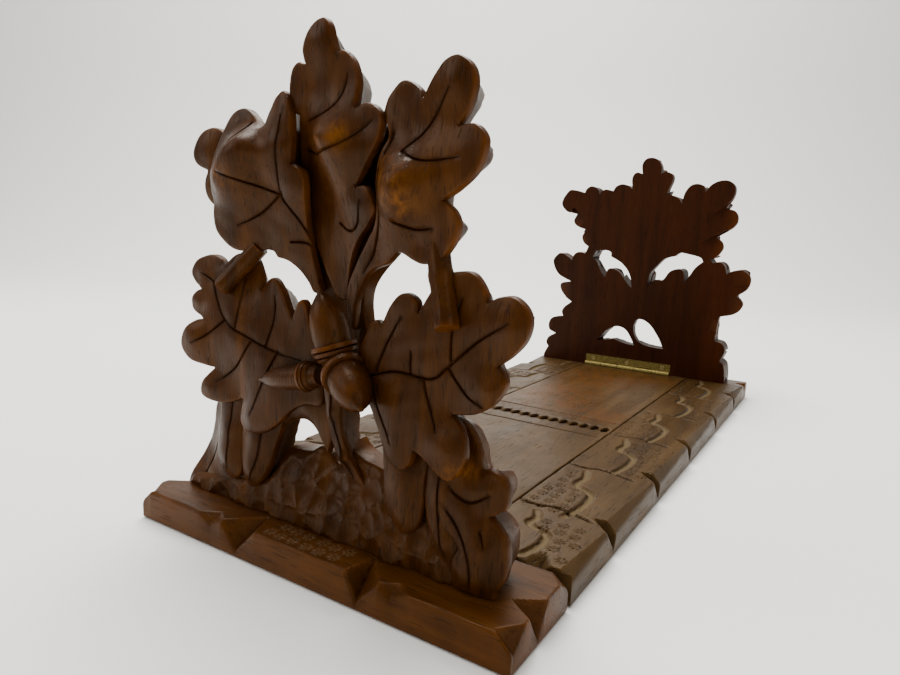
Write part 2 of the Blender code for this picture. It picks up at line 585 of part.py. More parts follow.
def make_hinge(prefix, panel, board, face, inward, base_kind, screw):
    """A butt hinge with one leaf on the panel and one on its end board, and their screws."""
    axis_y = face + inward * AXIS_PROUD
    panel_leaf = make_leaf(prefix + "_hinge_panel_leaf", "up", 0, axis_y, inward)
    base_leaf = make_leaf(prefix + "_hinge_base_leaf", base_kind, 1, axis_y, inward)
    make_pin(prefix + "_hinge_pin", axis_y)
    span = (HINGE_X - HINGE_HALF - GAP, HINGE_X + HINGE_HALF + GAP)
    panel_seat = ((-KNUCKLE_ROOM, SEAT_OPEN), (-SEAT_OPEN, LEAF_H + GAP))
    cut(panel, hinge_box(prefix + "_panel_seat", span, axis_y, inward, *panel_seat, CUTTERS))
    if base_kind == "flat":
        seat = ((-KNUCKLE_ROOM, 4 * SEAT_OPEN), (-KNUCKLE_ROOM, SEAT_OPEN))
        screw_out, screw_up, drive = HINGE_SCREW_OUT, LEAF_FRONT, (0, 0, -1)
    else:
        seat = ((-KNUCKLE_ROOM, SEAT_OPEN), (-LEAF_H - GAP, SEAT_OPEN))
        screw_out, screw_up, drive = LEAF_FRONT, -HINGE_SCREW_OUT, (0, -inward, 0)
    cut(board, hinge_box(prefix + "_base_seat", span, axis_y, inward, *seat, CUTTERS))
    for index, x in enumerate(HINGE_SCREW_X):
        upper = hinge_point(HINGE_X + x, axis_y, inward, LEAF_FRONT, HINGE_SCREW_OUT)
        drive_screw(f"{prefix}_panel_screw_{index + 1}", screw, upper, (0, -inward, 0),
                    [panel_leaf, panel], BRASS)
        lower = hinge_point(HINGE_X + x, axis_y, inward, screw_out, screw_up)
        drive_screw(f"{prefix}_base_screw_{index + 1}", screw, lower, drive, [base_leaf, board], BRASS)
    return axis_y


# ---------------------------------------------------------------- assembly
def make_stand():
    near_board = make_near_end_board()
    far_board = make_far_end_board()
    slat = make_centre_slat()
    rails = {-1: make_rail("left_rail", -1), 1: make_rail("right_rail", 1)}
    strap = make_strap()
    near_panel = make_panel("near_panel", NEAR_OUTLINE, NEAR_WINDOWS, NEAR_FACE, -1)
    far_panel = make_panel("far_panel", FAR_OUTLINE, FAR_WINDOWS, FAR_FACE, 1)

    hinge_screw = ScrewSize("hinge_screw", *HINGE_SCREW)
    board_screw = ScrewSize("board_screw", *BOARD_SCREW)
    strap_screw = ScrewSize("strap_screw", *STRAP_SCREW)

    make_hinge("near", near_panel, near_board, NEAR_FACE, 1, "flat", hinge_screw)
    far_axis = make_hinge("far", far_panel, far_board, FAR_FACE, -1, "down", hinge_screw)
    low = (HINGE_X - HINGE_HALF - GAP, far_axis - KNUCKLE_ROOM, AXIS_Z - KNUCKLE_ROOM)
    high = (HINGE_X + HINGE_HALF + GAP, FAR_SEAM + OVERCUT, BASE_T + OVERCUT)
    cut(slat, box("slat_barrel_room", low, high, CUTTERS))

    up = (0, 0, 1)
    for index, x in enumerate(SLAT_SCREW_X):
        place = (x, NEAR_SEAM - 0.5 * SLAT_TENON, SCREW_SINK)
        drive_screw(f"slat_screw_{index + 1}", board_screw, place, up, [near_board, slat], STEEL)
    for side, word in ((-1, "left"), (1, "right")):
        rail = rails[side]
        for index, x in enumerate(RAIL_SCREW_X):
            place = (side * x, FAR_SEAM + RAIL_SCREW_IN, SCREW_SINK)
            drive_screw(f"{word}_rail_screw_{index + 1}", board_screw, place, up, [far_board, rail], STEEL)
        for index, x in enumerate(STRAP_SCREW_X):
            place = (side * x, STRAP_Y, SCREW_SINK + GAP / 2)
            drive_screw(f"{word}_strap_screw_{index + 1}", strap_screw, place, up, [strap, rail], STEEL)
    make_stop_screw(slat)


def make_stop_screw(slat):
    """The round-headed screw under the slat's far end, and its hole."""
    profile = [(0, 0), (STOP_HEAD_R, 0), (STOP_HEAD_R, -STOP_HEAD_H), (STOP_SHANK_R, -STOP_HEAD_H),
               (STOP_SHANK_R, -STOP_LONG), (0, -STOP_LONG)]
    stop = add_mesh("stop_screw", turned_mesh("stop_screw", profile, SCREW_SIDES, 0.6 * MM))
    place = Matrix.Translation((0, STOP_Y, SLAT_BOTTOM - STOP_PROUD))
    stop.matrix_world = place @ Matrix.Rotation(math.pi, 4, "X")
    part(stop, STEEL, 0.35, 1.0)
    top = (0, STOP_Y, SLAT_BOTTOM - STOP_PROUD + STOP_LONG + 1.5 * GAP)
    cut(slat, rod("stop_screw_hole", STOP_SHANK_R + GAP, (0, STOP_Y, 0), top, 12, CUTTERS))


make_stand()
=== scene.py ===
"""The looks of the carved bible stand: two pierced oak-leaf ends on an extending base, around the frame."""

import json
import math

import bmesh
import bpy
import numpy as np
from mathutils import Matrix, Vector, geometry, kdtree


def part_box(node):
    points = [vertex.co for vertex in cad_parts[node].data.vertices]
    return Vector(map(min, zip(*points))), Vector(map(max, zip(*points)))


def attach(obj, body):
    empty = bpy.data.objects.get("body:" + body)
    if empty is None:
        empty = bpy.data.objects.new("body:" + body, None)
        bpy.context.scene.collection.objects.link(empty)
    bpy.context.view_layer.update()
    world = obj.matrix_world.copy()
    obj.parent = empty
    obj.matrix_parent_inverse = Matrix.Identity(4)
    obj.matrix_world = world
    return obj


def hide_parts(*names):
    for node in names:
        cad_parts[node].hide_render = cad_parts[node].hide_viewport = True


MM = 0.001
SEED = 7

# The ends are drawn on the panel, in millimetres: across (x), above the floor (z), out from its face (h).
# In each outline a run starts at a sharp notch, and the rest of it is joined smoothly up to the next notch.
CENTRE = [
    [(-3.5, 98, 8), (-13, 118, 9), (-17, 132, 10), (-17, 145.5, 12), (-14.5, 156, 15)],
    [(-13.5, 159.5, 16), (-16, 161, 17), (-17.5, 167.5, 17), (-16.5, 174, 17), (-13.5, 176.5, 17)],
    [(-10, 175.5, 17.5), (-10.5, 180, 18), (-8, 184, 19), (-4, 187.5, 19), (0, 188.5, 19), (2.5, 186, 19),
     (3.5, 181.5, 18.5)],
    [(4.5, 178, 18), (8, 178, 18), (11.5, 174.5, 17.5), (13.5, 168.5, 17.5), (13, 164, 17.5)],
    [(12.5, 160.5, 17.5), (16.5, 161.5, 18), (21, 160.5, 18.5), (24, 156.5, 18.5), (23, 150.5, 18.5),
     (18.5, 144, 18)],
    [(12, 136, 16), (17, 136, 17), (20, 131.5, 17), (20.5, 128, 16.5), (16.5, 123.5, 15), (10.5, 118, 13),
     (5, 110, 10), (2, 98, 8)],
]
LEFT_UPPER = [
    [(-9.5, 100, 9), (-10.5, 108, 11), (-11.5, 120, 13.5), (-10.5, 129.5, 16), (-9.5, 136.5, 17.5),
     (-10.5, 141, 18)],
    [(-15, 143.5, 19), (-14, 150, 19.5), (-14, 157.5, 19.5), (-15.5, 163.5, 19), (-18.5, 167.5, 18.5),
     (-22.5, 166, 18), (-28, 161, 16.5)],
    [(-33, 156, 15), (-37, 160, 14), (-42, 163.5, 13.5), (-47, 164, 13.5), (-51, 161.5, 14),
     (-53.5, 156, 15.5), (-56, 149, 17), (-58, 141, 18), (-58.5, 134, 17.5), (-57.5, 129.5, 17)],
    [(-58, 128, 17), (-58, 124, 17), (-56.5, 119, 17), (-52.5, 115, 16.5), (-48, 112.5, 16),
     (-41.5, 112, 15), (-33.5, 113, 13.5), (-29.5, 112.5, 13)],
    [(-27.5, 110.5, 13), (-23.5, 109.5, 12), (-18.5, 106.5, 11), (-15, 102.5, 10), (-13, 98.5, 9)],
]
LEFT_BACK = [
    [(-45, 158, 8)],
    [(-56, 154.5, 12), (-59.5, 157.5, 12.5), (-64.5, 158, 13), (-70, 156, 13), (-74, 151, 13),
     (-74.5, 147, 13), (-72, 144, 13)],
    [(-66, 142, 13), (-67, 138.5, 13.5), (-66.5, 134.5, 14), (-63.5, 130, 14)], [(-56, 125, 13)],
    [(-42, 128, 8)],
]
RIGHT_UPPER = [
    [(1.5, 90, 8), (2.5, 100, 9), (7, 108, 11), (15, 116.5, 15), (21.5, 124, 18), (23, 130.5, 19),
     (22.5, 137, 19), (23, 144.5, 18.5), (26, 151.5, 18)],
    [(22.5, 158.5, 16), (24.5, 163, 16), (29, 167, 16.5), (33, 167, 17), (37, 164.5, 17)],
    [(38.5, 162, 17.5), (43, 167, 19), (47.5, 171, 20), (52, 172, 20), (56.5, 169, 20), (58, 164, 20),
     (56, 157.5, 19.5)],
    [(52.5, 153, 19), (58.5, 153, 20), (62, 150, 20.5), (62.5, 146.5, 20.5), (60, 140, 20.5),
     (54, 135, 20)],
    [(48.5, 132, 19.5), (53, 128.5, 20), (54.5, 124.5, 20), (53, 119.5, 20), (47.5, 114, 19),
     (41, 112.5, 18), (36, 113.5, 17), (30.5, 115.5, 16)],
    [(27.5, 114, 15), (24, 111.5, 14), (17, 109, 12.5), (12, 104.5, 11), (8, 97, 9.5), (5.5, 87, 8)],
]
LEFT_LOWER = [
    [(-9, 87.5, 15), (-11, 95, 15), (-14, 96, 15.5)],
    [(-18, 89.5, 15), (-20.5, 94, 15), (-23.5, 99, 14.5), (-27, 102.5, 14.5), (-31, 102.5, 13.5)],
    [(-37, 98, 12), (-38.5, 103.5, 11), (-42, 109, 10.5), (-46.5, 110.5, 11), (-51, 110.5, 12)],
    [(-58, 106, 12), (-61, 108.5, 12), (-65.5, 109.5, 12), (-70.5, 108.5, 12.5), (-75, 106.5, 12.5),
     (-78, 102, 12.5), (-75.5, 98, 13)],
    [(-69.5, 95.5, 14), (-72.5, 94.5, 15), (-75, 91, 15), (-73.5, 86.5, 15)],
    [(-66, 84, 16), (-70, 83, 18), (-74.5, 79.5, 19), (-77, 74.5, 19), (-76, 70, 19), (-71.5, 66.5, 18.5),
     (-64.5, 65.5, 18)],
    [(-59, 65, 17), (-62, 62, 18), (-65, 58.5, 18.5), (-65.5, 54, 18.5), (-62, 52, 18.5), (-55, 51.5, 18),
     (-48, 53, 17.5)],
    [(-43, 55, 16), (-43.5, 50, 17), (-43, 45.5, 17.5), (-40.5, 43, 17.5), (-36, 42.5, 17.5),
     (-29, 44.5, 17.5), (-21.5, 50, 17.5), (-15.5, 55.5, 17), (-9.5, 58.5, 16.5), (-2, 60, 16)],
    [(-2, 68, 15), (-5, 78, 15)],
]
RIGHT_LOWER = [
    [(13, 78, 16), (17, 87.5, 16), (19.5, 92, 16), (22, 93, 16)],
    [(24, 92, 16), (27, 97.5, 16.5), (31, 102, 17), (35, 103, 17), (38.5, 101, 17)],
    [(39, 97.5, 16.5), (42, 102, 17), (45.5, 107, 17), (50.5, 110.5, 17.5), (56.5, 111.5, 18),
     (60, 110.5, 18), (63.5, 106.5, 18.5)],
    [(64.5, 103, 18.5), (68.5, 105, 19), (73.5, 105.5, 19.5), (78, 102.5, 20), (79.5, 98, 20.5),
     (78, 93, 20.5), (74, 88.5, 20)],
    [(69.5, 85, 19.5), (72, 83, 20), (73, 79.5, 20.5), (70, 74.5, 20.5), (65, 70.5, 20), (60, 68.5, 19)],
    [(54, 67.5, 18.5), (59, 63.5, 20), (61, 56, 21), (59, 50.5, 21), (55, 47, 21), (50, 49, 21),
     (45, 52, 20.5)],
    [(41.5, 53.5, 20), (40, 48.5, 20.5), (36.5, 46, 20.5), (33, 47, 20.5), (29, 52, 20), (25, 59, 19),
     (20.5, 65.5, 18), (16, 69, 17)],
]
FOOT_LEAF = [
    [(45, 63, 12), (51, 65, 12), (57, 62.5, 12.5), (61.5, 56, 13)],
    [(63, 50, 13.5), (67, 51.5, 14.5), (71, 49.5, 14.5), (73, 45.5, 14.5), (73, 41, 15),
     (70.5, 38.5, 15.5)],
    [(68, 37, 16), (72, 34.5, 17), (75, 30, 17), (75.5, 23, 17), (74.5, 18, 18), (72.5, 15, 19)],
    [(73, 10.5, 19), (59.5, 11, 20)],
    [(57.5, 15.5, 20), (57, 21, 19.5), (58.5, 25.5, 19), (53.5, 29.5, 18), (49, 34.5, 17), (44.5, 41, 15),
     (42, 50, 13), (42, 58.5, 12)],
]
RIGHT_FINGER = [
    [(24, 52.5, 14), (25.5, 43, 15), (27, 34, 16), (30.5, 27, 17), (35.5, 23, 17.5), (39, 23.5, 17.5),
     (42, 26.5, 17), (43, 32.5, 16.5), (43, 41.5, 15.5), (41.5, 52.5, 14)],
]
OUTER_FINGER = [
    [(40, 60, 12), (42, 44, 14), (44, 33, 16), (48, 24, 17.5), (51.5, 17.5, 18), (56, 17, 18),
     (59, 24, 17), (59, 36, 15), (56, 60, 12)],
]
LEFT_FINGER = [
    [(-60, 56, 13), (-59.5, 44.5, 14), (-59.5, 37.5, 15), (-59, 31, 16), (-56, 25.5, 17), (-51, 22, 17.5),
     (-46.5, 22, 17.5), (-43.5, 25, 17), (-43.5, 32, 16), (-44.5, 41, 15), (-47, 56, 13)],
]
LONG_FINGER = [
    [(-45.5, 52, 14), (-45, 37.5, 15.5), (-43, 29, 17), (-39.5, 22.5, 18), (-35.5, 21, 18),
     (-31.5, 24, 17.5), (-28.5, 30.5, 16.5), (-26.5, 37.5, 15.5), (-24, 46, 14.5), (-22, 56, 14)],
]
FLARE = [
    [(-69.5, 62, 8), (-70.5, 51, 6), (-73, 44.5, 5.5), (-73.5, 37, 6), (-74, 29.5, 8), (-74.5, 23.5, 12),
     (-77, 17, 15), (-78, 12.5, 16)],
    [(-77.5, 8, 16), (-46.5, 8, 19)], [(-41.5, 24, 15), (-50, 62, 10)],
]
GROUND = [
    [(-76.5, 8, 17), (-75, 16, 16), (-63.5, 19.5, 16), (-48.5, 22, 15.5), (-32, 25, 15), (-27.5, 29, 14)],
    [(-26.5, 34.5, 11), (-25.5, 37, 9), (-18.5, 37.5, 9)],
    [(-13, 38.5, 9), (-9, 41, 8.5), (-4, 39.5, 8.5), (1, 36.5, 9)],
    [(6, 46, 10), (9, 43, 10), (14, 41, 10), (22, 40, 10.5), (30, 38, 11)], [(42, 34, 12), (58, 30, 12)],
    [(66, 8, 19)],
]
STEM = [
    [(-1.5, 68.5, 16), (-0.5, 61, 16), (0.5, 53, 15.5), (2, 46, 14.5), (5.5, 39, 13.5), (11, 33, 12.5),
     (19, 27, 12)],
    [(23, 26, 12), (16, 33, 12.5), (11, 40, 13.5), (8, 47.5, 15), (7, 54, 16), (7.5, 61, 16.5)],
    [(9, 69, 17)],
]
BRANCH = [
    [(-31, 37, 13), (-27.5, 43, 13), (-22.5, 48, 13), (-16.5, 51, 13.5), (-11, 52, 14), (-7, 50, 14),
     (-3.5, 45.5, 14)],
    [(-1.5, 41, 13), (2, 50, 14)], [(4, 67, 12), (-34, 63, 12)], [(-35, 42, 12)],
]
CORE = [
    [(-13, 90, 5)], [(-18, 108, 6), (-25, 125, 7), (-22, 150, 8)], [(-13, 160, 8)], [(8, 162, 8)],
    [(24, 154, 8), (29, 138, 8), (26, 122, 7), (9, 102, 6)], [(10, 82, 5)], [(14, 60, 6)], [(-14, 60, 6)],
]
LEAF_CROWNS = {
    "centre": [
        (-1, 182, 20), (-11, 169, 16), (8, 170, 17), (-3, 162, 16.5), (0, 152, 22.5), (17, 155, 18),
        (10, 146, 21), (-13, 148, 12), (2, 138, 16), (15, 130, 17.5), (5, 125, 13), (-9, 130, 9),
        (1, 110, 8.5)],
    "left_upper": [
        (-50, 120, 17), (-49, 146, 22.5), (-42, 148, 25), (-36, 152, 23.5), (-50, 136, 22.5),
        (-30, 140, 19), (-46, 158, 15), (-18, 160, 20), (-18, 148, 21), (-26, 133, 17), (-15, 136, 18.5),
        (-38, 119, 15.5), (-42, 128, 18), (-25, 114, 13.5), (-15, 112, 12.5)],
    "left_back": [
        (-66, 151, 14.5), (-62, 137, 15), (-56, 148, 12)],
    "right_upper": [
        (51, 165, 21), (31, 161, 16.5), (56, 147, 20.5), (32, 138, 26), (38, 133, 24.5), (48, 124, 19),
        (27, 150, 17.5), (37, 152, 17), (45, 139, 22), (29, 131, 24.5), (38, 119, 17), (20, 113, 13),
        (9, 97, 10)],
    "left_lower": [
        (-72, 102, 13.5), (-60, 103, 13.5), (-70, 89, 16), (-70, 74, 20), (-60, 57, 19.5),
        (-36, 48, 19.5), (-20, 57, 18), (-45, 78, 18), (-44, 100, 14), (-28, 96, 14.5), (-20, 86, 15)],
    "right_lower": [
        (33, 97, 17), (56, 104, 18.5), (45, 96, 18), (73, 97, 21.5), (68, 77, 21.5), (55, 56, 22.5),
        (35, 52, 21.5), (24, 68, 19), (45, 80, 19), (30, 80, 17.5), (60, 86, 19)],
    "foot_leaf": [
        (50, 55, 14), (66, 45, 16), (66, 28, 20), (64, 17, 22), (52, 38, 17)],
}
LEAF_VEINS = {
    "centre": [
        [(-9, 157.5), (1, 159.5), (6, 164), (9, 171)], [(-13, 148.5), (-3, 146.5), (9, 149), (20, 156)],
        [(-3.5, 146.5), (-4.5, 152)], [(1, 124), (7, 121.5), (12, 124), (15, 132)]],
    "left_upper": [
        [(-22, 133), (-36, 137), (-49, 141)], [(-22, 133), (-33, 126), (-45, 121.5)],
        [(-22, 133), (-20, 148), (-18, 160)], [(-22, 133), (-13, 122), (-8.5, 110), (-10, 102)],
        [(-20, 116.5), (-13, 116.5), (-9.5, 114)], [(-38, 158), (-41, 151)]],
    "right_upper": [
        [(33, 146), (42, 154), (50, 164)], [(33, 146), (41.5, 143), (54.5, 144)],
        [(31, 125), (38, 123), (45, 123.5)], [(24, 141), (25, 128), (20, 117), (12, 107)],
        [(28, 152), (26, 145)]],
    "left_lower": [
        [(-62, 99), (-52, 85), (-40, 80), (-26, 76), (-12, 74)], [(-52, 85), (-62, 78), (-70, 74)],
        [(-46, 82), (-45, 92), (-44, 102)], [(-37, 79), (-45, 68), (-56, 60)],
        [(-30, 77), (-27, 88), (-27, 97)], [(-24, 76), (-31, 62), (-36, 50)], [(-62, 99), (-70, 102)]],
    "right_lower": [
        [(20, 74), (32, 77.5), (46, 77.5), (52, 82), (62, 91), (73, 98)], [(52, 82), (59, 75), (66, 72)],
        [(43, 77.5), (46, 69), (50, 61)], [(38, 77.5), (37.5, 85)], [(23, 76), (27, 86), (33, 96)],
        [(22, 72), (26, 64), (33, 54)], [(53, 83), (53, 93), (56, 104)]],
    "foot_leaf": [
        [(50, 44), (60, 40), (68, 44)], [(50, 38), (58, 31), (64, 22), (65, 15)], [(66, 32), (68, 28)]],
}
# Acorns: the middle of the cup's mouth, the nut's tip, the cup's radius.
ACORNS = [
    ((4.5, 83, 17), (-1.5, 101.5, 18), 7.8), ((-7, 70, 19), (-29.5, 65.5, 20), 5.4),
    ((12.5, 73, 19), (27, 66, 28.5), 8.3),
]
# Cut twigs: both ends, radius.
TWIGS = [((-52, 97.5, 18), (-37.5, 114, 12), 3.6), ((53.5, 94.5, 22), (44.5, 118, 15), 4.0)]
# Places where hands have worn the stain through: x, z, radius.
POLISHED = [
    (-1, 150, 5), (31, 137, 7), (-47, 140, 5), (58, 49, 4), (-4, 90, 3), (36, 131, 5), (8, 152, 4),
]

FAR_OUTLINE = [
    [(-82.5, 10)], [(-82, 16), (-79, 22)], [(-78.3, 23), (-80.4, 26.4), (-78.7, 31.4)],
    [(-72.1, 35.7), (-78.3, 38.6), (-79, 45), (-75.4, 49.7)], [(-66.1, 51.7), (-67.6, 55.7), (-65.4, 60)],
    [(-59.3, 65), (-67.6, 70.7), (-71.6, 76.4), (-70.4, 80.7)],
    [(-61.1, 82.6), (-73.3, 88.6), (-78.7, 98.6), (-76, 104.6), (-71, 106.7)],
    [(-61.6, 101.4), (-59.7, 106.4), (-55.4, 108.6)], [(-50, 107.4)],
    [(-47.6, 113.6), (-52.6, 117), (-54.7, 122)], [(-51.6, 128), (-59.7, 130.7), (-63.3, 135)],
    [(-61, 140.7), (-69.7, 143), (-74.4, 150), (-69, 159.7), (-63.3, 160.7)],
    [(-54.4, 158.3), (-52.6, 162), (-48.3, 164), (-43.3, 161.7)],
    [(-41, 157), (-39, 160), (-35.7, 161.4)],
    [(-29.7, 160), (-27.6, 163.6), (-22.6, 165.7), (-17, 164.3)],
    [(-13.7, 161.7), (-14.7, 169.3), (-13.3, 173.6), (-10.4, 175)],
    [(-6.4, 173.6), (-7.3, 180.7), (-4.7, 185.3), (0.3, 186.4), (5.3, 184.3), (8.4, 178.6)],
    [(8, 173.6), (11.7, 175.4), (16.7, 173.6), (17.9, 169.3), (15.3, 161.4)],
    [(13.6, 157.4), (17.4, 157.4), (24, 154.6)],
    [(26.4, 150), (28, 158.6), (31.7, 164.3), (36.7, 166), (41.7, 164.3)],
    [(43.6, 159.3), (46.7, 164.6), (52.4, 168), (59.6, 168.3), (64.6, 163.6), (64, 155.7)],
    [(59, 148), (66, 145.7), (68.6, 140), (66, 133.6)],
    [(54.6, 125.7), (59, 122), (60, 117), (56, 110.7)], [(51.7, 109)],
    [(54.3, 105.7), (59, 107), (63, 104.3)], [(65, 98), (70.3, 101), (76.7, 101.4), (82, 96.4), (81, 88)],
    [(74, 81.7), (77.4, 78.6), (78.6, 74.3), (74, 68)], [(63.3, 64.7), (62, 55)],
    [(61.7, 45.3), (67.4, 43.6), (70, 38)], [(67, 30), (70.3, 26.4), (71.7, 18)], [(71.7, 10)],
]
FAR_WINDOWS = [
    [[(-43.3, 105)], [(-40.4, 110.3), (-33.3, 111.4), (-27.6, 110)],
     [(-27, 106.4), (-17.6, 101.4), (-11, 94.3), (-8.3, 87)],
     [(-7.6, 81), (-12, 85.7), (-19, 93.6), (-25.4, 96.4), (-29, 95)],
     [(-30.7, 88.6), (-34.7, 93), (-39, 100.7)]],
    [[(47, 106.4), (44.6, 109.6), (35.3, 111.7), (29, 112.4)],
     [(25.3, 109.7), (17.4, 107), (11, 100), (6.4, 93)],
     [(5.3, 83), (11, 89.3), (17.4, 90), (22.4, 97), (29, 99.6), (33, 97)],
     [(34, 88.6), (38, 95), (41.7, 101.4)]],
    [[(-34, 33.6), (-27.6, 42), (-20.4, 47), (-14, 48), (-7.6, 44.3)], [(-1, 33.6), (-9, 34.3)],
     [(-19, 37)]],
    [[(-3, 50), (-1, 55), (4, 56), (11, 52), (18, 43)], [(23, 33.6), (11, 34.3), (2.4, 37), (-2, 43)]],
]
# Lobes of the far end whose inner side is pared to a thin rim: x, z, radius. They fan out from LOBE_ROOT.
FAR_PARED = [
    (-68, 76, 7), (-60, 135, 6), (-54, 119, 6), (62, 139, 10), (55, 118, 8), (76, 74, 7), (77, 96, 7),
    (62, 56, 5),
]

LOBE_ROOT = 85.0

# Both panels' foot above the floor, the far end's plate, and the smallest hinge-side thickness of a leaf.
PANEL_FOOT = 12.8
FAR_PLATE = 7.0
LEAST_THICK = 1.6
# A leaf's rim: how far its edge is rounded, and how thick it is where the back is undercut.
RIM_ROUND = 0.85
RIM_THICK = 2.8
# The triangles: their grid, the least gap between points and along a rim, and how far the fronts are eased.
GRID = 1.15
LEAST_GAP = 0.42
RIM_STEP = 0.45
SPLINE_EASE = 2.0
VEIN_DEPTH = 0.9
VEIN_HALF = 0.5
GROOVE_SHADE_REACH = 0.75 * MM
# The hinge leaf's seat in a panel, as ranges of x, z and h, and the height of the seat's floor in the base.
HINGE_SEAT = ((-42.3, 30.3), (5.0, 21.6), (-1.0, 1.6))
SEAT_FLOOR = 10.9
BLOCK_FACES = [(0, 3, 2, 1), (4, 5, 6, 7), (0, 1, 5, 4), (1, 2, 6, 5), (2, 3, 7, 6), (3, 0, 4, 7)]


# ---------------------------------------------------------------- curves and outlines
def smooth_run(points, step=0.8):
    """A Catmull-Rom curve through points, sampled about every step."""
    p = np.array(points, float)
    ext = np.vstack([2 * p[0] - p[1], p, 2 * p[-1] - p[-2]])
    out = []
    for i in range(1, len(ext) - 2):
        a, b, c, d = ext[i - 1:i + 3]
        n = max(2, int(np.linalg.norm(c[:2] - b[:2]) / step + 0.5))
        for t in np.arange(n)[:, None] / n:
            curve = 2 * b + (c - a) * t + (2 * a - 5 * b + 4 * c - d) * t**2 + (3 * b - a - 3 * c + d) * t**3
            out.append(0.5 * curve)
    return np.vstack(out)


def closed_outline(runs, step=0.8):
    """Smooth lobes joined at sharp notches, anticlockwise. The first point of each run is its notch."""
    pts = np.vstack([smooth_run(run + [runs[(k + 1) % len(runs)][0]], step) for k, run in enumerate(runs)])
    x, z = pts[:, 0], pts[:, 1]
    turn = np.sum(x * np.roll(z, -1) - z * np.roll(x, -1))
    return pts if turn > 0 else pts[::-1]


def inside(pts, loop):
    """Which of pts lie inside the closed loop."""
    x, z = pts[:, 0][:, None], pts[:, 1][:, None]
    ax, az = loop[:, 0][None], loop[:, 1][None]
    bx, bz = np.roll(loop[:, 0], -1)[None], np.roll(loop[:, 1], -1)[None]
    crosses = ((az > z) != (bz > z)) & (x < (bx - ax) * (z - az) / np.where(bz == az, 1e-9, bz - az) + ax)
    return crosses.sum(1) % 2 == 1


def gap_to(pts, line, closed=False):
    """Each point's shortest distance to a line, and how far along the line that is, from 0 to 1."""
    a = line if closed else line[:-1]
    b = np.roll(line, -1, 0) if closed else line[1:]
    d = b - a
    t = np.einsum("ij,kj->ik", pts, d) - np.einsum("kj,kj->k", a, d)[None]
    t = np.clip(t / np.maximum(np.einsum("kj,kj->k", d, d), 1e-9)[None], 0, 1)
    near = a[None] + t[..., None] * d[None]
    gap = np.linalg.norm(pts[:, None] - near, axis=2)
    k = gap.argmin(1)
    rows = np.arange(len(pts))
    return gap[rows, k], (k + t[rows, k]) / len(a)


def nearest(pts, loops):
    """Each point's distance to the nearest of the closed loops."""
    return np.min([gap_to(pts, loop, True)[0] for loop in loops], 0)


def within(pts, loops):
    """Which of pts lie inside the first loop and outside the others."""
    ok = inside(pts, loops[0])
    for loop in loops[1:]:
        ok &= ~inside(pts, loop)
    return ok


def normals(ahead):
    """Unit vectors across the steps ahead."""
    return np.c_[-ahead[:, 1], ahead[:, 0]] / np.linalg.norm(ahead, axis=1)[:, None]


def far_apart(pts, least):
    """Drops each point that lies closer than least to one before it."""
    cells, kept = {}, []
    for i, (x, z) in enumerate(pts):
        key = (int(x // least), int(z // least))
        near = [j for u in (-1, 0, 1) for v in (-1, 0, 1) for j in cells.get((key[0] + u, key[1] + v), ())]
        if all((pts[j][0] - x) ** 2 + (pts[j][1] - z) ** 2 >= least**2 for j in near):
            cells.setdefault(key, []).append(i)
            kept.append(i)
    return kept


def membrane(controls):
    """A smooth surface through (x, z, h) points: a thin-plate spline."""
    c = np.array(controls, float)
    n = len(c)

    def kernel(p, q):
        r2 = ((p[:, None] - q[None]) ** 2).sum(2)
        return 0.5 * r2 * np.log(r2 + 1e-9)

    a = np.zeros((n + 3, n + 3))
    a[:n, :n] = kernel(c[:, :2], c[:, :2]) + SPLINE_EASE * np.eye(n)
    a[:n, n] = a[n, :n] = 1
    a[:n, n + 1:] = c[:, :2]
    a[n + 1:, :n] = c[:, :2].T
    w = np.linalg.solve(a, np.concatenate([c[:, 2], np.zeros(3)]))
    return lambda p: kernel(p, c[:, :2]) @ w[:n] + w[n] + p @ w[n + 1:]


def step_up(t):
    """A smooth rise from 0 to 1."""
    t = np.clip(t, 0, 1)
    return t * t * (3 - 2 * t)


def ripple(p, size, seed):
    """Gentle unevenness from a knife: a sum of slanted waves, about -1 to 1."""
    rng = np.random.default_rng(seed)
    total = np.zeros(len(p))
    for k in range(6):
        a = rng.uniform(0, math.tau)
        f = math.tau / (size * rng.uniform(0.7, 1.6))
        total += np.sin(f * (p[:, 0] * math.cos(a) + p[:, 1] * math.sin(a)) + rng.uniform(0, math.tau))
    return total / 3.5


def chip_facets(p, size, depth, seed):
    """Shallow scoops side by side with sharp ridges between them, as a gouge leaves them."""
    rng = np.random.default_rng(seed)
    lo, hi = p.min(0) - size, p.max(0) + size
    nx, nz = ((hi - lo) / size).astype(int) + 1
    gx, gz = np.meshgrid(np.arange(nx), np.arange(nz), indexing="ij")
    seeds = np.c_[gx.ravel(), gz.ravel()] * size + lo + rng.uniform(-0.38, 0.38, (nx * nz, 2)) * size
    lift = rng.uniform(0, 0.35, len(seeds))
    gap = ((p[:, None] - seeds[None]) ** 2).sum(2) / size**2 + lift
    near = np.sort(gap, 1)[:, :2]
    return depth * (near[:, 0] ** 0.7 + 0.25 * np.exp(-(near[:, 1] - near[:, 0]) * 9))


# ---------------------------------------------------------------- carved bodies
class Solid:
    """Vertices and faces of one closed body, in (x, z, h) panel millimetres."""

    def __init__(self, verts, faces, lines=None):
        self.verts = np.array(verts, float)
        self.lines = np.zeros((0, 3)) if lines is None else lines
        self.faces = [tuple(int(i) for i in f) for f in faces]


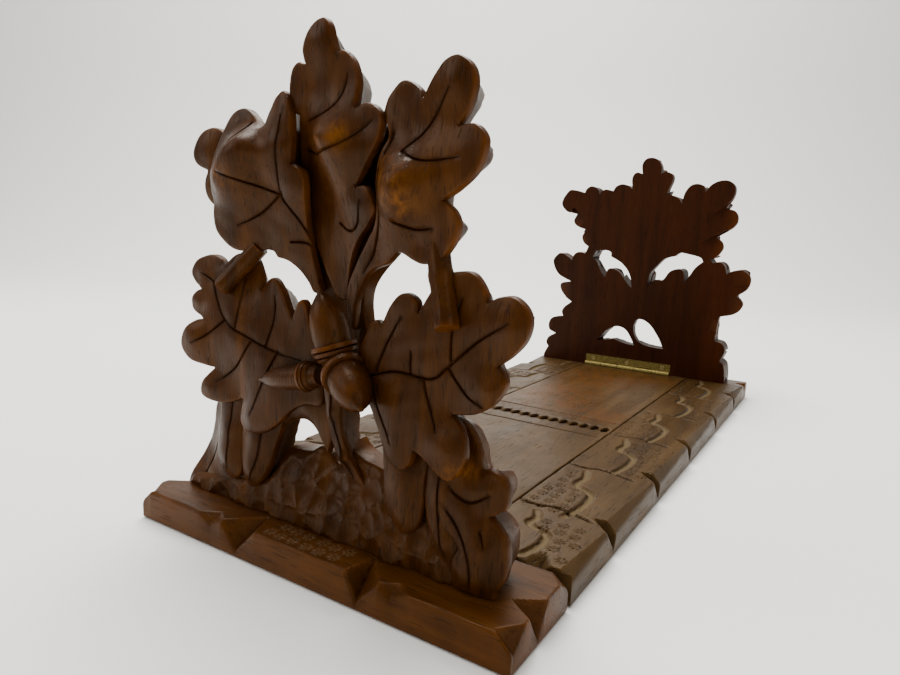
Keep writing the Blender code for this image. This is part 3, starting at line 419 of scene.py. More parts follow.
def fill_points(loops, lines, grid, rim):
    """The outlines, two rings just inside them, both sides of each vein, and a grid of points between."""
    lo, hi = loops[0].min(0), loops[0].max(0)
    gx, gz = np.meshgrid(np.arange(lo[0], hi[0], grid), np.arange(lo[1], hi[1], grid * 0.866))
    gx = gx + np.where(np.arange(len(gz)) % 2, 0.5 * grid, 0)[:, None]
    pool = []
    for line in lines:
        side = normals(np.gradient(line, axis=0)) * VEIN_HALF
        pool += [line, line + side, line - side]
    for loop in loops:
        side = normals(np.roll(loop, -1, 0) - np.roll(loop, 1, 0))
        for d in (0.35 * rim, rim):
            ring = loop + side * d
            pool.append(ring[(nearest(ring, loops) > 0.9 * d) & inside(ring, loops[0])])
    pool = np.vstack(pool + [np.c_[gx.ravel(), gz.ravel()]])
    pool = pool[within(pool, loops) & (nearest(pool, loops) > 0.3 * rim)]
    return np.vstack(loops + [pool[far_apart(pool, LEAST_GAP)]])


def triangulate(loops, points):
    """Anticlockwise triangles inside the outline and outside its windows, and the points that they use."""
    edges, start = [], 0
    for loop in loops:
        n = len(loop)
        edges += [(start + i, start + (i + 1) % n) for i in range(n)]
        start += n
    found = geometry.delaunay_2d_cdt([Vector(p) for p in points], edges, [], 0, 1e-4)
    pts = np.array([tuple(v) for v in found[0]])
    tris = np.array([f for f in found[2] if len(f) == 3])
    tris = tris[within(pts[tris].mean(1), loops)]
    a, b, c = (pts[tris[:, k]] for k in range(3))
    turn = (b - a)[:, 0] * (c - a)[:, 1] - (b - a)[:, 1] * (c - a)[:, 0]
    tris[turn < 0] = tris[turn < 0][:, ::-1]
    used = np.unique(tris)
    order = -np.ones(len(pts), int)
    order[used] = np.arange(len(used))
    return pts[used], order[tris]


def open_edges(tris):
    """The edges that only one triangle has, each in that triangle's own direction."""
    edges = {}
    for t in tris:
        for u, v in ((t[0], t[1]), (t[1], t[2]), (t[2], t[0])):
            if edges.pop((v, u), None) is None:
                edges[(u, v)] = True
    return edges


def carved_body(runs, crowns=(), veins=(), thick=RIM_THICK, undercut=9.0, chips=None, flat=None, windows=(),
                seed=1, grid=GRID, rim=RIM_ROUND):
    """A closed body with a carved front, a rim of thickness thick and a back that falls away to the panel's
    face. thick None takes the rim right down to the back. flat is one front height, in place of the heights
    in runs."""
    outlines = [closed_outline(runs)] + [closed_outline(w)[::-1] for w in windows]
    outlines = [loop[far_apart(loop[:, :2], RIM_STEP)] for loop in outlines]
    loops = [loop[:, :2] for loop in outlines]
    if flat is None:
        front = membrane(np.vstack([outlines[0][::5], np.array(crowns, float).reshape(-1, 3)]))
    else:
        def front(p):
            return np.full(len(p), float(flat))
    lines = [smooth_run(v, 0.6) if len(v) > 2 else np.linspace(v[0], v[1], 16) for v in veins]
    pts, tris = triangulate(loops, fill_points(loops, lines, grid, rim))
    gap = nearest(pts, loops)
    gap[gap < 1e-3] = 0
    plain = front(pts)
    if chips:
        top = plain + chip_facets(pts, *chips, seed) * step_up(gap / 2.5)
    else:
        top = plain + 0.12 * ripple(pts, 8.0, seed)
    for line in lines:
        d, along = gap_to(pts, line)
        fade = np.minimum(1, 1.5 * (1 - along) + 0.25)
        top -= VEIN_DEPTH * fade * np.clip(1 - d / VEIN_HALF, 0, 1) + 0.22 * fade * np.exp(-(d / 2.6) ** 2)
    dip = rim - np.sqrt(np.clip(rim**2 - np.clip(rim - gap, 0, rim) ** 2, 0, None))
    top -= 0.9 * dip
    back = np.zeros(len(pts))
    if thick is not None:
        back = np.clip(plain - thick, 0, None) * (1 - step_up(gap / undercut))
        back = np.minimum(back, top - LEAST_THICK)
    n = len(pts)
    verts = np.vstack([np.c_[pts, top], np.c_[pts, np.maximum(back, 0)]])
    faces = [tuple(t) for t in tris] + [tuple(n + i for i in t[::-1]) for t in tris]
    faces += [(v, u, n + u, n + v) for u, v in open_edges(tris)]
    drawn = [np.c_[line, front(line) - 0.6 * VEIN_DEPTH] for line in lines]
    return Solid(verts, faces, np.vstack(drawn) if drawn else None)


def lathe(a, b, profile, sides=26):
    """A turned body from a to b. The profile holds (along, radius) pairs, along from 0 to 1."""
    a, b = np.array(a, float), np.array(b, float)
    way = (b - a) / np.linalg.norm(b - a)
    u = np.cross(way, (0.2, 0.3, 1.0))
    u /= np.linalg.norm(u)
    v = np.cross(way, u)
    verts = [a + (b - a) * profile[0][0]]
    for along, r in profile[1:-1]:
        for k in range(sides):
            t = math.tau * k / sides
            verts.append(a + (b - a) * along + r * (u * math.cos(t) + v * math.sin(t)))
    verts.append(a + (b - a) * profile[-1][0])
    rows = len(profile) - 2
    faces = [(0, 1 + (k + 1) % sides, 1 + k) for k in range(sides)]
    for i in range(rows - 1):
        for k in range(sides):
            p, q = 1 + i * sides + k, 1 + i * sides + (k + 1) % sides
            faces.append((p, q, q + sides, p + sides))
    last = len(verts) - 1
    faces += [(last, last - sides + k, last - sides + (k + 1) % sides) for k in range(sides)]
    return Solid(verts, faces)


def acorn(mouth, tip, cup_r):
    """A cup with turned rings and a pointed nut."""
    mouth, tip = np.array(mouth, float), np.array(tip, float)
    heel = mouth - (tip - mouth) * (0.95 * cup_r / np.linalg.norm(tip - mouth))
    rings = [(0, 0), (0.0, 0.35), (0.12, 0.62), (0.30, 0.86), (0.42, 0.93), (0.47, 0.82), (0.52, 0.97),
             (0.68, 1.03), (0.73, 0.88), (0.79, 1.05), (0.98, 1.02), (1.0, 0.9), (1.0, 0)]
    nut = [(-0.3, 0), (-0.3, 0.6), (0.0, 0.84), (0.2, 0.86), (0.4, 0.83), (0.58, 0.72), (0.74, 0.54),
           (0.85, 0.33), (0.92, 0.17), (0.97, 0.13), (1.0, 0.06), (1.0, 0)]
    ends = ((heel, mouth, rings), (mouth, tip, nut))
    return [lathe(a, b, [(s, r * cup_r) for s, r in profile]) for a, b, profile in ends]


def twig(a, b, r, sides=32, flats=8):
    """A pruned twig, cut across at both ends, with flats from the knife and a knot part of the way along."""
    along = np.concatenate([[0, 0], np.linspace(0.02, 0.98, 18), [1, 1]])
    swell = 0.93 + 0.08 * np.exp(-((along - 0.09) / 0.06) ** 2) + 0.10 * np.exp(-((along - 0.62) / 0.07) ** 2)
    swell[[0, -1]] = 0
    body = lathe(a, b, [(s, k * r) for s, k in zip(along, swell)], sides)
    start, way = np.array(a, float), np.array(b, float) - np.array(a, float)
    turn = math.tau * (np.arange(sides) % (sides // flats) + 0.5) / sides - math.pi / flats
    flat = np.tile(math.cos(math.pi / flats) / np.cos(turn), len(along) - 2)
    middle = start + np.outer(np.repeat(along[1:-1], sides), way)
    body.verts[1:-1] = middle + (body.verts[1:-1] - middle) * (1.06 * flat)[:, None]
    return body


def block(xs, zs, hs):
    """A box between pairs of panel coordinates."""
    plan = ((xs[0], zs[0]), (xs[1], zs[0]), (xs[1], zs[1]), (xs[0], zs[1]))
    return Solid([(*p, h) for h in hs for p in plan], BLOCK_FACES)


def paring(x, z, r):
    """The wedge that thins one lobe of the far end on its inner side, from its root to its tip."""
    way = np.array([x, z - LOBE_ROOT])
    way /= np.linalg.norm(way)
    side = np.array([-way[1], way[0]]) * 1.05 * r
    root, tip = np.array([x, z]) - way * r, np.array([x, z]) + way * 1.6 * r
    plan = (root - side, tip - side, tip + side, root + side)
    depth = (0.0, 5.0, 5.0, 0.0)
    return Solid([(*p, -3.0) for p in plan] + [(*p, d) for p, d in zip(plan, depth)], BLOCK_FACES)


def add_object(name, data):
    """A new object in the scene."""
    ob = bpy.data.objects.new(name, data)
    bpy.context.scene.collection.objects.link(ob)
    return ob


def add_mesh(name, verts, faces):
    """A new mesh object from vertices in scene metres."""
    mesh = bpy.data.meshes.new(name)
    mesh.from_pydata([tuple(v) for v in verts], [], faces)
    mesh.validate()
    return add_object(name, mesh)


def solid_objects(name, solids, place):
    """One object for each body, with its faces turned outwards. place turns (x, z, h) into scene metres."""
    obs = [add_mesh(f"{name}_{i}", place(solid.verts), solid.faces) for i, solid in enumerate(solids)]
    for ob in obs:
        bm = bmesh.new()
        bm.from_mesh(ob.data)
        bmesh.ops.recalc_face_normals(bm, faces=bm.faces)
        bm.to_mesh(ob.data)
        bm.free()
    return obs


def combine(name, keep, others, how):
    """keep with each of others joined to it or cut by it, as a plain mesh."""
    for other in others:
        mod = keep.modifiers.new("join", "BOOLEAN")
        mod.operation = how
        mod.solver = "MANIFOLD"
        mod.object = other
    bpy.context.view_layer.update()
    graph = bpy.context.evaluated_depsgraph_get()
    mesh = bpy.data.meshes.new_from_object(keep.evaluated_get(graph))
    for other in others:
        bpy.data.objects.remove(other)
    bpy.data.objects.remove(keep)
    mesh.name = name
    return add_object(name, mesh)


def union(name, solids, place):
    """All the bodies joined into one object."""
    obs = solid_objects(name, solids, place)
    return combine(name, obs[0], obs[1:], "UNION")


# ---------------------------------------------------------------- what the finish reads from the shape
def smooth_values(values, edges, count, rounds):
    """Values at the vertices, blurred along the edges."""
    for _ in range(rounds):
        total = np.zeros(count)
        np.add.at(total, edges[:, 0], values[edges[:, 1]])
        np.add.at(total, edges[:, 1], values[edges[:, 0]])
        times = np.bincount(edges.ravel(), minlength=count)
        values = 0.4 * values + 0.6 * total / np.maximum(times, 1)
    return values


def mesh_arrays(ob):
    """A mesh's places, normals and edges."""
    mesh = ob.data
    n = len(mesh.vertices)
    co = np.zeros(n * 3)
    mesh.vertices.foreach_get("co", co)
    no = np.zeros(n * 3)
    mesh.vertices.foreach_get("normal", no)
    edges = np.zeros(len(mesh.edges) * 2, np.int64)
    mesh.edges.foreach_get("vertices", edges)
    return co.reshape(-1, 3), no.reshape(-1, 3), edges.reshape(-1, 2)


def store(ob, name, values):
    """Keeps values from 0 to 1 on the vertices, for the finish to read."""
    attribute = ob.data.attributes.new(name, "FLOAT", "POINT")
    attribute.data.foreach_set("value", np.clip(values, 0, 1).astype(np.float32))


def groove_dirt_and_shade(ob, points, reach):
    """Darkens what lies along engraved lines: partly wax and dirt settled there, partly painted shade in the
    grooves.
    """
    tree = kdtree.KDTree(len(points))
    for i, p in enumerate(points):
        tree.insert(p, i)
    tree.balance()
    gap = np.array([tree.find(v.co)[2] for v in ob.data.vertices])
    store(ob, "dark", 0.8 * (1.3 - gap / reach))


def read_edges(ob, spots=(), rounds=4):
    """Stores how proud or sunk each point is: stain rubs off proud edges, and hollows are darkened, partly
    for the dust that gathers there and partly as painted shade.
    """
    co, no, edges = mesh_arrays(ob)
    a, b = edges[:, 0], edges[:, 1]
    way = co[b] - co[a]
    length = np.maximum(np.linalg.norm(way, axis=1), 1e-6)
    bend_a = -(way * no[a]).sum(1) / length
    bend_b = (way * no[b]).sum(1) / length
    bend = np.zeros(len(co))
    np.add.at(bend, a, bend_a)
    np.add.at(bend, b, bend_b)
    bend /= np.maximum(np.bincount(edges.ravel(), minlength=len(co)), 1)
    bend = smooth_values(bend, edges, len(co), rounds)
    polish = np.zeros(len(co))
    for x, z, r in spots:
        polish = np.maximum(polish, np.exp(-(((co[:, 0] / MM - x) ** 2 + (co[:, 2] / MM - z) ** 2) / r**2)))
    store(ob, "worn", (bend - 0.06) * 4.5)
    store(ob, "sunk", (-bend - 0.04) * 5)
    store(ob, "polish", polish)


def shade(ob, material, degrees):
    """One material, smooth but for creases sharper than degrees."""
    ob.data.materials.clear()
    ob.data.materials.append(material)
    for p in ob.data.polygons:
        p.material_index = 0
    ob.data.shade_smooth()
    ob.data.set_sharp_from_angle(angle=math.radians(degrees))


# ---------------------------------------------------------------- boards
def board(name, xs, ys, bottom, carve):
    """A closed board. carve gives its top's height in mm and its tone, over 0 if pale and under if dark; the
    dark of the cuts is dirt and painted shade.
    """
    xs, ys = np.asarray(xs, float), np.asarray(ys, float)
    gx, gy = np.meshgrid(xs, ys, indexing="ij")
    p = np.c_[gx.ravel(), gy.ravel()]
    top, tone = carve(p)
    nx, ny = len(xs), len(ys)
    idx = np.arange(nx * ny).reshape(nx, ny)
    quads = np.stack([idx[:-1, :-1], idx[1:, :-1], idx[1:, 1:], idx[:-1, 1:]], 2).reshape(-1, 4)
    rim = np.concatenate([idx[:-1, 0], idx[-1, :-1], idx[:0:-1, -1], idx[0, :0:-1]])
    soft = 0.5
    middle = np.array([xs.mean(), ys.mean()])
    out = p[rim] - middle
    half = np.array([np.ptp(xs), np.ptp(ys)]) / 2
    low_rim = p[rim] - np.sign(out) * soft * (np.abs(out) > half - 1e-6)
    n = len(p)
    m = len(rim)
    verts = np.vstack([np.c_[p, top], np.c_[p[rim], np.full(m, bottom + soft)],
                       np.c_[low_rim, np.full(m, bottom)], [[middle[0], middle[1], bottom]]])
    faces = [tuple(q) for q in quads]
    for k in range(m):
        j = (k + 1) % m
        faces.append((rim[j], rim[k], n + k, n + j))
        faces.append((n + j, n + k, n + m + k, n + m + j))
        faces.append((n + m + j, n + m + k, n + 2 * m))
    ob = add_mesh(name, verts * MM, [tuple(int(i) for i in f) for f in faces])
    tones = np.concatenate([tone, np.zeros(2 * m + 1)])
    store(ob, "pale", tones)
    store(ob, "dark", -tones)
    read_edges(ob, rounds=2)
    return ob


class Carving:
    """Cuts made in a board's top, over its grid of points."""

    def __init__(self, points, height, seed):
        self.p = points
        self.z = np.full(len(points), float(height)) + 0.06 * ripple(points, 22, seed)
        self.tone = np.zeros(len(points))

    def near(self, x0, x1, y0, y1):
        x, y = self.p[:, 0], self.p[:, 1]
        return np.flatnonzero((x > x0) & (x < x1) & (y > y0) & (y < y1))

    def groove(self, line, half, depth, tone):
        """A gouge or knife line along points, fading out at both ends."""
        line = smooth_run(line, 1.0) if len(line) > 2 else np.array(line, float)
        lo, hi = line.min(0) - half, line.max(0) + half
        k = self.near(lo[0], hi[0], lo[1], hi[1])
        d, along = gap_to(self.p[k], line)
        cut = np.clip(1 - (d / half) ** 4, 0, 1) * np.clip(8 * np.minimum(along, 1 - along) + 0.45, 0, 1)
        self.z[k] -= depth * cut
        self.tone[k] += tone * cut

    def daisy(self, x, y, turn=0.0, size=1.0, tone=0.9):
        """A seven-petalled punch mark."""
        r = 3.4 * size
        k = self.near(x - r, x + r, y - r, y + r)
        dx, dy = self.p[k, 0] - x, self.p[k, 1] - y
        rho, a = np.hypot(dx, dy), np.arctan2(dy, dx) + turn
        petal = np.exp(-(((rho - 1.75 * size) / (0.8 * size)) ** 2)) * (0.5 + 0.5 * np.cos(7 * a)) ** 1.5
        petal = np.maximum(petal, 0.8 * np.exp(-((rho / (0.42 * size)) ** 2)))
        self.z[k] -= 0.6 * petal
        self.tone[k] += tone * petal

    def notch(self, edge, at, across, reach, before, after, depth, skew=0.0):
        """A V-shaped chip out of an edge, before and after long on its two sides.
        edge is the outside value of the axis named by across, 0 for x or 1 for y."""
        e = np.abs(self.p[:, across] - edge)
        s = self.p[:, 1 - across] - at - skew * e
        cut = np.clip(depth * (1 - e / reach) - np.abs(s) * depth / np.where(s < 0, before, after), 0, None)
        self.z = np.minimum(self.z, TOP - cut)
        self.tone -= 0.35 * np.clip(cut / depth, 0, 1)

    def chamfer(self, edge, y0, y1, wide, narrow):
        """A pared strip along an outer edge, wide at y0 and narrow at y1."""
        k = self.near(-HALF_WIDE - 1, HALF_WIDE + 1, y0, y1)
        e = np.abs(self.p[k, 0] - edge)
        width = np.interp(self.p[k, 1], [y0, y1], [wide, narrow])
        self.z[k] = np.minimum(self.z[k], TOP - np.clip(width - e, 0, None) * 0.95)

    def recess(self, x0, x1, y0, y1, floor):
        """A flat-bottomed seat."""
        k = self.near(x0, x1, y0, y1)
        self.z[k] = np.minimum(self.z[k], floor)

    def round_edge(self, axis, edge, radius):
        """An edge worn round, a little more in some places than in others."""
        e = np.clip(np.abs(self.p[:, axis] - edge), 0, radius)
        r = radius * (1 + 0.25 * np.sin(self.p[:, 1 - axis] * 0.31 + edge))
        e = np.clip(e, 0, r)
        self.z -= r - np.sqrt(np.clip(r**2 - (r - e) ** 2, 0, None))


def fine(lo, hi, step, soft=1.5, edge_step=0.3):
    """Grid lines from lo to hi, closer together along both edges."""
    inner = np.linspace(lo + soft, hi - soft, max(2, int((hi - lo - 2 * soft) / step) + 1))
    rim = np.arange(0, soft - 1e-6, edge_step)
    return np.concatenate([lo + rim, inner, (hi - rim)[::-1]])


# ---------------------------------------------------------------- materials
class Finish:
    """A material's nodes, each added with its inputs and settings."""

    def __init__(self, name):
        self.material = bpy.data.materials.new(name)
        self.material.use_nodes = True
        self.tree = self.material.node_tree
        self.shader = self.tree.nodes["Principled BSDF"]

    def plug(self, socket, value):
        """Gives an input a number or a colour, or links another node's output to it."""
        if isinstance(value, bpy.types.NodeSocket):
            self.tree.links.new(value, socket)
        elif isinstance(value, tuple) and socket.type == "RGBA":
            socket.default_value = (*value, 1)
        else:
            socket.default_value = value

    def surface(self, **inputs):
        """Sets the shader's inputs, named with underscores for spaces."""
        for word, value in inputs.items():
            self.plug(self.shader.inputs[word.replace("_", " ")], value)

    def add(self, kind, inputs, output=0, **settings):
        """Adds a node, and gives back one of its outputs."""
        node = self.tree.nodes.new("ShaderNode" + kind)
        for word, value in settings.items():
            setattr(node, word, value)
        for socket, value in inputs.items():
            self.plug(node.inputs[socket], value)
        return node.outputs[output]

    def noise(self, scale, detail, rough=0.5, distort=0.0):
        """Noise in the piece's own space, with one scale for each axis."""
        place = self.add("TexCoord", {}, "Object")
        vector = self.add("Mapping", {"Vector": place, "Scale": scale})
        return self.add("TexNoise", {"Vector": vector, "Scale": 1.0, "Detail": detail, "Roughness": rough,
                                     "Distortion": distort}, "Fac")

    def ramp(self, source, *stops):
        node = self.tree.nodes.new("ShaderNodeValToRGB")
        elements = node.color_ramp.elements
        while len(elements) < len(stops):
            elements.new(0.5)
        for element, (at, value) in zip(elements, stops):
            element.position = at
            element.color = (*value, 1) if isinstance(value, tuple) else (value, value, value, 1)
        self.plug(node.inputs["Fac"], source)
        return node.outputs["Color"]

    def maths(self, how, a, b):
        return self.add("Math", {0: a, 1: b}, operation=how, use_clamp=how != "SUBTRACT")

    def mix(self, how, factor, a, b):
        return self.add("Mix", {"Factor": factor, "A": a, "B": b}, "Result", data_type="RGBA", blend_type=how)

    def stored(self, name):
        return self.add("Attribute", {}, "Fac", attribute_name=name)

    def bump(self, height, strength, distance, **below):
        return self.add("Bump", {"Height": height, "Strength": strength, "Distance": distance, **below})


def darker(colour, share):
    return tuple(share * c for c in colour)


def wood(name, stretch, tones, worn, pale, gloss, grain=1.0, polish=(0.42, 0.16, 0.03)):
    """Stained, waxed hardwood. The grain runs along the axis stretch; tones are dark, middle and light."""
    look = Finish(name)

    def pattern(across, along, detail, rough=0.55, distort=0.0):
        return look.noise([along if axis == stretch else across for axis in "XYZ"], detail, rough, distort)

    figure = pattern(85, 9, 4, 0.6, 0.7)
    patches = pattern(22, 14, 3)
    fibres = pattern(1500, 60, 3, 0.7)
    pores = pattern(1100, 110, 2, 0.5)
    smudge = pattern(45, 45, 5, 0.65)
    speck = look.ramp(pores, (0.60, 0.0), (0.68, 1.0))
    streaks = look.maths("ADD", look.maths("MULTIPLY", figure, 0.75), look.maths("MULTIPLY", fibres, 0.25))
    colour = look.ramp(streaks, (0.32, tones[0]), (0.50, tones[1]), (0.70, tones[2]))
    colour = look.mix("MULTIPLY", 0.45, colour, look.ramp(patches, (0.35, 0.6), (0.62, 1.0)))
    colour = look.mix("MIX", look.maths("MULTIPLY", speck, 0.5 * grain), colour, darker(tones[0], 0.3))
    rubbed = look.maths("MULTIPLY", look.stored("worn"), look.ramp(smudge, (0.38, 0.05), (0.60, 0.9)))
    colour = look.mix("MIX", rubbed, colour, worn)
    patchy = look.ramp(pattern(260, 130, 4, 0.7, 0.5), (0.40, 0.0), (0.60, 0.85))
    colour = look.mix("MIX", look.maths("MULTIPLY", look.stored("polish"), patchy), colour, polish)
    # Cuts and hollows are darkened: partly dirt and dust, partly painted shade in them.
    dirt_and_shade, dust_and_shade = darker(tones[0], 0.25), darker(tones[0], 0.35)
    for what, share, tint in (("pale", 0.75, pale), ("dark", 0.85, dirt_and_shade), ("sunk", 0.75, dust_and_shade)):
        colour = look.mix("MIX", look.maths("MULTIPLY", look.stored(what), share), colour, tint)
    rough = look.ramp(smudge, (0.3, gloss - 0.07), (0.7, gloss + 0.1))
    rough = look.maths("ADD", rough, look.maths("MULTIPLY", speck, 0.15))
    rough = look.maths("ADD", rough, look.maths("MULTIPLY", look.stored("sunk"), 0.2))
    cuts = look.maths("ADD", look.stored("dark"), look.maths("ADD", look.stored("pale"), look.stored("sunk")))
    pits = look.maths("MULTIPLY", speck, 0.8 * grain)
    height = look.maths("SUBTRACT", look.maths("MULTIPLY", fibres, 0.5), pits)
    relief = look.bump(smudge, 0.25, 0.0006, Normal=look.bump(height, 0.35 * grain, 0.0003))
    sheen = look.maths("MULTIPLY", look.maths("SUBTRACT", 1.0, cuts), 0.13)
    look.surface(Base_Color=colour, Roughness=rough, Specular_IOR_Level=sheen,
                 Specular_Tint=(1.0, 0.72, 0.46), Coat_Weight=0.03, Coat_Roughness=0.3, Normal=relief)
    return look.material


def metal(name, bright, dull, roughness):
    """Aged metal: bright where it is rubbed, dull in patches, with fine scratches."""
    look = Finish(name)
    stains = look.noise((700, 700, 700), 5)
    scratches = look.noise((300, 4000, 4000), 3)
    spread = look.add("MapRange", {"Value": stains, "To Min": roughness + 0.2, "To Max": roughness - 0.08})
    look.surface(Base_Color=look.ramp(stains, (0.30, dull), (0.75, bright)), Metallic=0.55, Roughness=spread,
                 Normal=look.bump(scratches, 0.2, 0.0001))
    return look.material


# ---------------------------------------------------------------- the stand
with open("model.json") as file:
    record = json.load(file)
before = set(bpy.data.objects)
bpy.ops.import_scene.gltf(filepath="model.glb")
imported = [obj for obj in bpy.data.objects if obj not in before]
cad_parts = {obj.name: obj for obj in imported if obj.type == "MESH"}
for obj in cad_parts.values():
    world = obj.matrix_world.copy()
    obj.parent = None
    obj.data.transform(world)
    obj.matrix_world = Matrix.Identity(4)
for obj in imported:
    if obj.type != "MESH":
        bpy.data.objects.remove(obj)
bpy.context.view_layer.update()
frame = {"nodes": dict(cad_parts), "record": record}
LEAF_STAIN = wood(
    "leaf_wood", "Z", ((0.015, 0.0038, 0.0003), (0.038, 0.0108, 0.0008), (0.074, 0.0235, 0.0022)),
    (0.13, 0.036, 0.003), (0.13, 0.075, 0.032), 0.34, polish=(0.15, 0.048, 0.004))
# The far end is the same wood as the near end. Its colours are darker as painted shade, for the weaker light
# on its face.
FAR_SHADED_STAIN = wood(
    "far_leaf_wood_painted_shade", "Z", ((0.013, 0.0022, 0.0003), (0.026, 0.0046, 0.0005), (0.040, 0.0080, 0.0008)),
    (0.085, 0.020, 0.0015), (0.10, 0.04, 0.01), 0.5, polish=(0.10, 0.03, 0.004))
NEAR_STAIN = wood(
    "near_board_wood", "X", ((0.025, 0.0068, 0.0005), (0.055, 0.0168, 0.0013), (0.092, 0.031, 0.0033)),
    (0.13, 0.040, 0.005), (0.15, 0.10, 0.055), 0.38, polish=(0.2, 0.07, 0.01))
TOP_STAIN = wood(
    "base_top_wood", "Y", ((0.024, 0.0113, 0.0029), (0.044, 0.0222, 0.0060), (0.067, 0.0365, 0.0112)),
    (0.13, 0.070, 0.023), (0.135, 0.100, 0.054), 0.42, 1.3, (0.070, 0.022, 0.002))
BRASS = metal("aged_brass", (0.26, 0.19, 0.04), (0.10, 0.075, 0.015), 0.5)
SCREW_BRASS = metal("rubbed_brass_screws", (0.50, 0.40, 0.16), (0.22, 0.16, 0.05), 0.32)
STEEL = metal("dull_steel", (0.32, 0.30, 0.27), (0.12, 0.11, 0.10), 0.45)

# The panels' flat inner faces along Y.
NEAR_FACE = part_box("near_panel")[1].y
FAR_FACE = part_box("far_panel")[0].y


def near_place(v):
    return np.c_[v[:, 0] * MM, NEAR_FACE - v[:, 2] * MM, v[:, 1] * MM]


def far_place(v):
    return np.c_[v[:, 0] * MM, FAR_FACE + v[:, 2] * MM, v[:, 1] * MM]


def leaf_bodies(undercut):
    """Every carved body of one end, front to back."""
    leaves = ((CENTRE, "centre", 1, 1), (LEFT_UPPER, "left_upper", 1, 2), (LEFT_BACK, "left_back", 0.6, 15),
              (RIGHT_UPPER, "right_upper", 1, 3), (LEFT_LOWER, "left_lower", 1, 4),
              (RIGHT_LOWER, "right_lower", 1, 5), (FOOT_LEAF, "foot_leaf", 0.5, 6))
    fingers = ((RIGHT_FINGER, [(34, 40, 17.5), (37, 28, 19)], [], 7),
               (OUTER_FINGER, [(50, 40, 17), (53, 24, 19.5)], [[(48, 50), (50, 32), (54, 20)]], 8),
               (LEFT_FINGER, [(-52, 40, 17), (-50, 28, 19)], [[(-52, 52), (-51, 36), (-50, 25)]], 9),
               (LONG_FINGER, [(-33, 40, 17.5), (-36, 26, 20)], [[(-33, 50), (-33, 36), (-36, 24)]], 10))
    bodies = []
    for outline, word, share, seed in leaves:
        veins = LEAF_VEINS.get(word, [])
        bodies.append(carved_body(outline, LEAF_CROWNS[word], veins, undercut=share * undercut, seed=seed))
    for outline, crowns, veins, seed in fingers:
        bodies.append(carved_body(outline, crowns, veins, undercut=4, seed=seed))
    flare_vein = [(-64, 52), (-64, 30), (-68, 16)]
    knolls = [(-40, 14, 18), (0, 14, 18.5), (30, 14, 18.5), (-15, 30, 13), (5, 24, 14), (50, 14, 19)]
    bodies += [
        carved_body(FLARE, [(-58, 50, 9), (-62, 30, 13)], [flare_vein], thick=None, seed=11),
        carved_body(GROUND, knolls, thick=None, chips=(7.4, 1.9), seed=12),
        carved_body(STEM, [(4, 58, 18), (8, 42, 17)], [[(3, 64), (5, 50), (11, 34)]], undercut=4, seed=13),
        carved_body(CORE, thick=None, seed=14, grid=2.0),
    ]
    for mouth, tip, r in ACORNS:
        bodies += acorn(mouth, tip, r)
    return bodies + [twig(a, b, r) for a, b, r in TWIGS]


def finish_panel(ob, material, degrees, body, node):
    shade(ob, material, degrees)
    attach(ob, body)
    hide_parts(node)


near_bodies = leaf_bodies(9.0)
near_bodies.append(carved_body(BRANCH, [(-20, 53, 15.5), (-10, 56, 16)], undercut=4, seed=16))
near_lines = near_place(np.vstack([body.lines for body in near_bodies]))
near_panel = union("near_leaf_end", near_bodies, near_place)


sole = block((-90, 90), (5, PANEL_FOOT), (-5, 40))
seat = block(*HINGE_SEAT)
near_cuts = solid_objects("cutter", [sole, seat], near_place)
near_panel = combine("near_leaf_end", near_panel, near_cuts, "DIFFERENCE")
read_edges(near_panel, POLISHED)
groove_dirt_and_shade(near_panel, near_lines, GROOVE_SHADE_REACH)
finish_panel(near_panel, LEAF_STAIN, 32, "near_end", "near_panel")

# The far end is a pierced plate with the same leaves on its outer side, cut to the plate's own outline.
shape = {
    "runs": [[(*p, 0) for p in run] for run in FAR_OUTLINE],
    "windows": [[[(*p, 0) for p in run] for run in window] for window in FAR_WINDOWS],
    "thick": None,
}
plate = carved_body(**shape, flat=FAR_PLATE, seed=21, grid=2.2)
prism = carved_body(**shape, flat=60, seed=22, grid=4, rim=0.3)
far_leaves = union("far_leaves", leaf_bodies(5.0), far_place)
far_leaves = combine("far_leaves", far_leaves, solid_objects("cutter", [prism], far_place), "INTERSECT")
far_panel = combine("far_leaf_end", solid_objects("cutter", [plate], far_place)[0], [far_leaves], "UNION")
cuts = [paring(*spot) for spot in FAR_PARED] + [sole, seat]
far_panel = combine("far_leaf_end", far_panel, solid_objects("cutter", cuts, far_place), "DIFFERENCE")
read_edges(far_panel)
finish_panel(far_panel, FAR_SHADED_STAIN, 38, "far_end", "far_panel")


# ---------------------------------------------------------------- base
# Places on the base are in millimetres: x across, y along.
near_lo, near_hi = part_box("near_end_board")
HALF_WIDE, TOP, FRONT = near_hi.x / MM, near_hi.z / MM, near_lo.y / MM
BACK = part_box("far_end_board")[1].y / MM
INSIDE = 43.8
SLAT_HALF = 43.0
SLAT_BASE = 3.0
NEAR_SEAM, RAIL_START, FAR_SEAM, FAR_BOARD = -165.0, -162.0, 183.7, 184.0
SEAT_X = HINGE_SEAT[0]
LEAF_Y, BARREL_Y = -175.1, 180.8
DEEP_CHIP = TOP - 2.5
DAISY_ROW = 6.6
BEADS, FIRST_BEAD, BEAD_STEP = 13, -38.4, 6.4

# Where the rails' cross lines fall, and the chips out of their outer edges.
CROSS_LINES = [-118, -64, -3, 59, 121]
RAIL_CHIPS = [-118, -54, 11, 83.5, 151]
RAIL_BAYS = [(-161, -123), (-123, -68), (-63, -8), (-3, 57), (61, 119), (122, 182)]
BAY_CURVE = [
    (66.0, 0.0), (68.3, 0.25), (67.8, 0.48), (64.5, 0.57), (59.0, 0.62), (57.0, 0.7), (57.8, 0.84),
    (55.0, 1.0),
]


